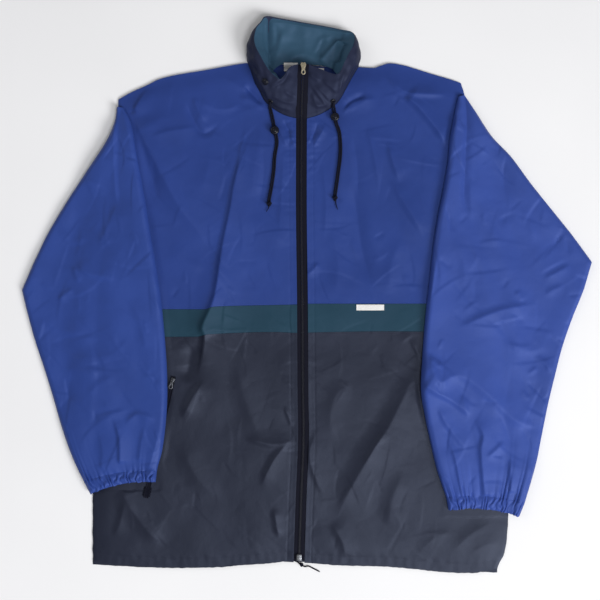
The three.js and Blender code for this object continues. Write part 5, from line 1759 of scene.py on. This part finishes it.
DRAWCORDS = (
    Drawcord(Side.LEFT,
             (((269.2, 108.4), (271.2, 117.6), (272.9, 126), (274, 131.4), (275.5, 138), (275.9, 145),
               (273.9, 157), (272.9, 171), (270.9, 186), (268.4, 200), (268.6, 204)),
              ((270.9, 108.2), (273.2, 117.6), (274.9, 126), (275.9, 131.4), (277.4, 138), (277.8, 145),
               (275.8, 157), (274.8, 171), (272.8, 186), (270.2, 200), (269.8, 204))),
             (274.8, 131.4), (269.2, 204.4), ((269, 205.4), (268.6, 208.6), (266.4, 212)), (3, 0.16)),
    Drawcord(Side.RIGHT,
             (((332.6, 109.6), (333, 112.6), (333.9, 118), (335.1, 124.4), (338, 133), (339.3, 145.5),
               (338.9, 159), (336.7, 176), (334.1, 194.6), (334.2, 198)),
              ((334.6, 109.4), (335, 112.6), (335.8, 118), (337, 124.2), (339.9, 132.6), (341.2, 145.5),
               (340.8, 159), (338.6, 176), (336, 194.6), (335.4, 198))),
             (334.8, 118), (334.8, 198.8), ((335.4, 200), (336, 205), (337.4, 210)), (24, 0.16)),
)


@dataclass
class HemCord:
    """The end of the hem's cord that hangs out beside the zip, with its knot."""

    route: Points = ((294, 560), (298, 562), (302.2, 565.2), (305, 566.4), (308.4, 566), (312, 567.6),
                     (317.5, 570.4), (319.6, 571.6))
    knot: tuple[float, float] = (301.4, 564.2)
    knot_size: float = 3.4
    knot_height: float = 3.3
    diameter: float = 2.0
    pitch: float = 2.6

    def build(self) -> None:
        """Makes the cord and the knot."""
        line = spline(self.route, np.linspace(0, len(self.route) - 1, 200))
        z = self.diameter / 2 + 0.1 + 0.9 * smooth((303 - line[:, 0]) / 5)
        path = evenly(place(line[:, 0], line[:, 1], z), CORD_STEP)
        points, faces = overhand(self.knot_size, self.pitch)
        knot = make("hem_knot_tied", points + place(*self.knot, self.knot_height), faces, Finish.CORD,
                    ["hem_knot"])
        points, faces = braided(path, self.diameter / 2, self.pitch)
        obj = make("hem_cord_braid", points, faces, Finish.CORD, ["hem_cord"])


@dataclass
class Trims:
    """Labels, the hanger loop, the collar's snap and the pockets' bar tacks.

    The labels and the loop are spans of x and y in the layout, a tack is its middle and its
    pocket's direction, and the snap is a station, a share of the way up and a lift.
    """

    thick: float = 0.6
    label_lift: float = 0.35
    back_lift: float = CLOTH + 1.1
    band_label: tuple[Points, Points] = ((356.2, 383.8), (304.6, 310.4))
    neck_label: tuple[Points, Points] = ((284, 298), (63.6, 71.4))
    loop: tuple[Points, Points] = ((306, 324), (68.4, 71))
    loop_arch: float = 1.4
    tacks: tuple[tuple[str, Points, Points], ...] = (("bar_tack_left", (147.6, 491), (-27.5, 121)),
                                                     ("bar_tack_right", (455.4, 487.5), (26, 114)))
    tack_half: int = 16
    tack_step: float = 0.28
    tack_width: float = 4.0
    tack_thread: float = 0.22
    snap: tuple[float, float, float] = (4.85, 0.58, 1.0)

    def patch(self, name: str, across: tuple[float, float], down: tuple[float, float],
              height: Callable, finish: Finish = Finish.LABEL, arch: float = 0.0) -> None:
        """A small flat woven piece with slightly curled corners and its sewn edge.

        Args:
            name: the CAD node that it stands for.
            across: its least and greatest x.
            down: its least and greatest y.
            height: gives what it lies on.
            finish: what it is woven of.
            arch: how far its middle stands up.
        """
        s, t = np.linspace(-1, 1, 30)[None], np.linspace(-1, 1, 16)[:, None]
        u = mix(*across, (s + 1) / 2) + 0 * t
        v = mix(*down, (t + 1) / 2) + 0 * s
        edge = np.maximum(np.abs(s), np.abs(t))
        rise = 0.12 * crumple(s * 6, t * 3, 1, 121) - 0.25 * np.exp(-((edge - 0.86) / 0.06) ** 2)
        rise = rise + arch * (1 - s * s) + 0.4 * (np.abs(s * t)) ** 5
        upper = place(u, v, height(u, v) + self.thick + rise)
        make(f"{name}_woven", *shell(upper, upper - (0, 0, self.thick)), finish, [name])

    def tack(self, name: str, middle: tuple[float, float], run: tuple[float, float]) -> None:
        """A bar tack: close zigzag stitches across a pocket's end."""
        run = np.array(run) / np.hypot(*run)
        side = np.array([-run[1], run[0]]) * self.tack_width
        corners = np.array([np.array(middle) + run * k * self.tack_step + (side if k % 2 else -side)
                            for k in range(-self.tack_half, self.tack_half + 1)])
        line = place(corners[:, 0], corners[:, 1], front_top(corners[:, 0], corners[:, 1]) + 1.0)
        make(name, *tube(evenly(line, 1.0), self.tack_thread, 6), Finish.CORD)

    def build(self, collar: Collar) -> None:
        """Makes them all.

        Args:
            collar: the collar, which carries the snap.
        """
        self.patch("band_label", *self.band_label, lambda u, v: front_top(u, v) + self.label_lift)
        self.patch("neck_label", *self.neck_label,
                   lambda u, v: self.back_lift + 4.6 * smooth((70 - v) / 5) + 0 * u)
        self.patch("hanger_loop", *self.loop, lambda u, v: self.back_lift + 0 * u, arch=self.loop_arch)
        for tack in self.tacks:
            self.tack(*tack)
        spot, normal = collar.seat(*self.snap)
        points, faces = lathe(SNAP_PROFILE, 36)
        make("collar_snap_cap", aim(points, normal, spot), faces, Finish.PLASTIC, ["collar_snap"])


@dataclass
class Stitching:
    """Topstitching: one short raised thread after another along each sewn line."""

    length: float = 2.3
    gap: float = 0.9
    thread: float = 0.12
    from_seam: float = 1.6

    def row(self, name: str, line: Grid, finish: Finish, up: Grid | None = None) -> None:
        """One row of stitches.

        Args:
            name: the row's name.
            line: points along it, in millimetres, on the cloth's face.
            finish: the cloth that its thread matches.
            up: the face's normal at each point, straight up if none is given.
        """
        up = np.broadcast_to((0.0, 0.0, 1.0), line.shape) if up is None else up
        run = travel(line)
        at = np.arange(self.gap, run[-1] - self.length, self.length + self.gap)
        ends = [np.stack([np.interp(at + shift, run, line[:, k]) for k in range(3)], -1)
                for shift in (0, self.length)]
        lift = np.stack([np.interp(at, run, up[:, k]) for k in range(3)], -1)
        ahead = ends[1] - ends[0]
        side = np.cross(ahead, lift)
        side /= np.maximum(np.linalg.norm(side, axis=1, keepdims=True), 1e-9)
        middle = (ends[0] + ends[1]) / 2
        rise = np.array([[-0.5, 0, -0.3], [-0.36, 0, 0], [0, 0, 0.06], [0.36, 0, 0], [0.5, 0, -0.3]])
        form, faces = tube(rise, np.array([0.5, 0.9, 1.0, 0.9, 0.5]) * self.thread, 6)
        axes = np.stack([ahead, side, lift], axis=1)
        points = (form @ axes) + middle[:, None]
        shift = np.arange(len(at))[:, None, None] * len(form)
        quads = np.array([face for face in faces if len(face) == 4])
        make(name, points.reshape(-1, 3), (quads[None] + shift).reshape(-1, 4), finish)

    def on_front(self, name: str, u: Grid, v: Grid, finish: Finish, fronts: Fronts) -> None:
        """A row on the fronts, through layout points."""
        z = np.where(u < read(ZIP_LINE, v), fronts.height(Side.LEFT, u, v), fronts.height(Side.RIGHT, u, v))
        self.row(name, place(u, v, z), finish)

    def build(self, fronts: Fronts, collar: Collar) -> None:
        """Makes every row.

        Args:
            fronts: the fronts, which carry most of them.
            collar: the collar, which carries two.
        """
        spans = (("upper", 126, 302.6, Finish.BLUE), ("band", 307, 330, Finish.TEAL),
                 ("lower", 336, 551, Finish.NAVY))
        for side in Side:
            for part, first, last, finish in spans:
                v = np.linspace(first, last, 260)
                u = read(ZIP_LINE, v) + side.value * fronts.placket
                self.on_front(f"placket_stitches_{part}_{side.word}", u, v, finish, fronts)
            inner, outer = (7, 184) if side is Side.LEFT else (7, 190)
            u = read(ZIP_LINE, np.array(320.0)) + side.value * np.linspace(inner, outer, 300)
            across = (("band_stitches_above", read(BAND_TOP, u) - self.from_seam, Finish.BLUE),
                      ("band_stitches_below", read(BAND_FOOT, u) + self.from_seam, Finish.NAVY),
                      ("hem_stitches", read(HEM, u) - fronts.hem_depth, Finish.NAVY))
            for part, v, finish in across:
                self.on_front(f"{part}_{side.word}", u, v, finish, fronts)
        at = np.linspace(0.2, len(COLLAR) - 1.2, 500)
        for name, share in (("rim", 0.93), ("neckline", 0.07)):
            t = np.array([share - 0.03, share, share + 0.03])
            ring = collar.face(at, t)
            up = outwards(ring)[1]
            face = collar.wrinkled(ring, at, t)[1]
            self.row(f"collar_{name}_stitches", face + up * 0.1, Finish.NAVY, up)


@dataclass(frozen=True)
class Lamp:
    """A round soft light that faces the jacket: its place and width in metres, and its power."""

    name: str
    spot: tuple[float, float, float]
    size: float
    power: float

    def build(self) -> None:
        """Adds the light."""
        light = bpy.data.lights.new(self.name, "AREA")
        light.shape, light.size, light.energy = "DISK", self.size, self.power
        obj = bpy.data.objects.new(self.name, light)
        obj.location = self.spot
        obj.rotation_euler = (-Vector(self.spot)).to_track_quat("-Z", "Y").to_euler()
        bpy.context.scene.collection.objects.link(obj)


@dataclass
class Studio:
    """A pale floor, soft light and the camera straight above.

    distance is the camera's height and field the width that it sees, in metres, look is the
    layout point under it, and the floor's half width and its gap to the jacket are millimetres.
    """

    distance: float = 1.9
    field: float = 0.9
    look: tuple[float, float] = (300.0, 300.0)
    sensor: float = 36.0
    sky: float = 0.31
    floor_half: float = 3000.0
    floor_gap: float = 0.1
    dark: tuple[float, float, float] = (0.735, 0.735, 0.75)
    light: tuple[float, float, float] = (0.77, 0.77, 0.785)
    lamps: tuple[Lamp, ...] = (Lamp("key_light", (4.4, -3.6, 3.9), 3.0, 402.0),
                               Lamp("gloss_light", (0.86, -1.2, 3.0), 1.3, 44.0),
                               Lamp("fill_light", (-2.8, 1.4, 2.6), 2.0, 20.0))

    def floor(self) -> None:
        """Makes the floor, with faint patches in its paint."""
        half, z = self.floor_half, -self.floor_gap
        corners = np.array([[-half, -half, z], [half, -half, z], [half, half, z], [-half, half, z]])
        mesh = bpy.data.meshes.new("floor")
        mesh.from_pydata((corners * MM).tolist(), [], [[0, 1, 2, 3]])
        recipe = Recipe("floor_paint")
        tone = recipe.ramp(recipe.noise(3, 2), 0.3, 0.7, self.dark, self.light)
        mesh.materials.append(recipe.finish(Base_Color=tone, Roughness=0.85))
        floor = bpy.data.objects.new("floor", mesh)
        bpy.context.scene.collection.objects.link(floor)

    def build(self) -> None:
        """Makes the floor, the lights, the sky and the camera."""
        self.floor()
        for lamp in self.lamps:
            lamp.build()
        world = bpy.data.worlds.new("studio")
        world.use_nodes = True
        background = world.node_tree.nodes["Background"]
        background.inputs["Color"].default_value = (1, 1, 1, 1)
        background.inputs["Strength"].default_value = self.sky
        bpy.context.scene.world = world
        bpy.context.scene.view_settings.view_transform = "Standard"
        camera = bpy.data.cameras.new("camera")
        camera.sensor_width = self.sensor
        camera.lens = self.sensor * self.distance / self.field
        view = bpy.data.objects.new("camera", camera)
        x, y, _ = place(*self.look, 0) * MM
        view.location = (x, y, self.distance)
        bpy.context.scene.collection.objects.link(view)
        bpy.context.scene.camera = view


def main() -> None:
    """Builds the studio and the jacket."""
    logging.basicConfig(level=logging.INFO, format="%(name)s: %(message)s")
    Studio().build()
    collar, fronts = Collar(), Fronts()
    for cord in DRAWCORDS:
        cord.build(collar)
    HemCord().build()
    Backs().build()
    fronts.build()
    # The sleeves take lighter copies of the blue, with painted light in their colour.
    Sleeve(Side.LEFT, 14, Finish.LEFT_SLEEVE).build()
    Sleeve(Side.RIGHT, 17, Finish.RIGHT_SLEEVE).build()
    collar.build()
    MainZip().build()
    Pocket(Side.LEFT, (174, 376), (146.5, 497)).build()
    Pocket(Side.RIGHT, (430, 376), (456, 490)).build()
    Trims().build(collar)
    Stitching().build(fronts, collar)


if __name__ == "__main__":
    main()
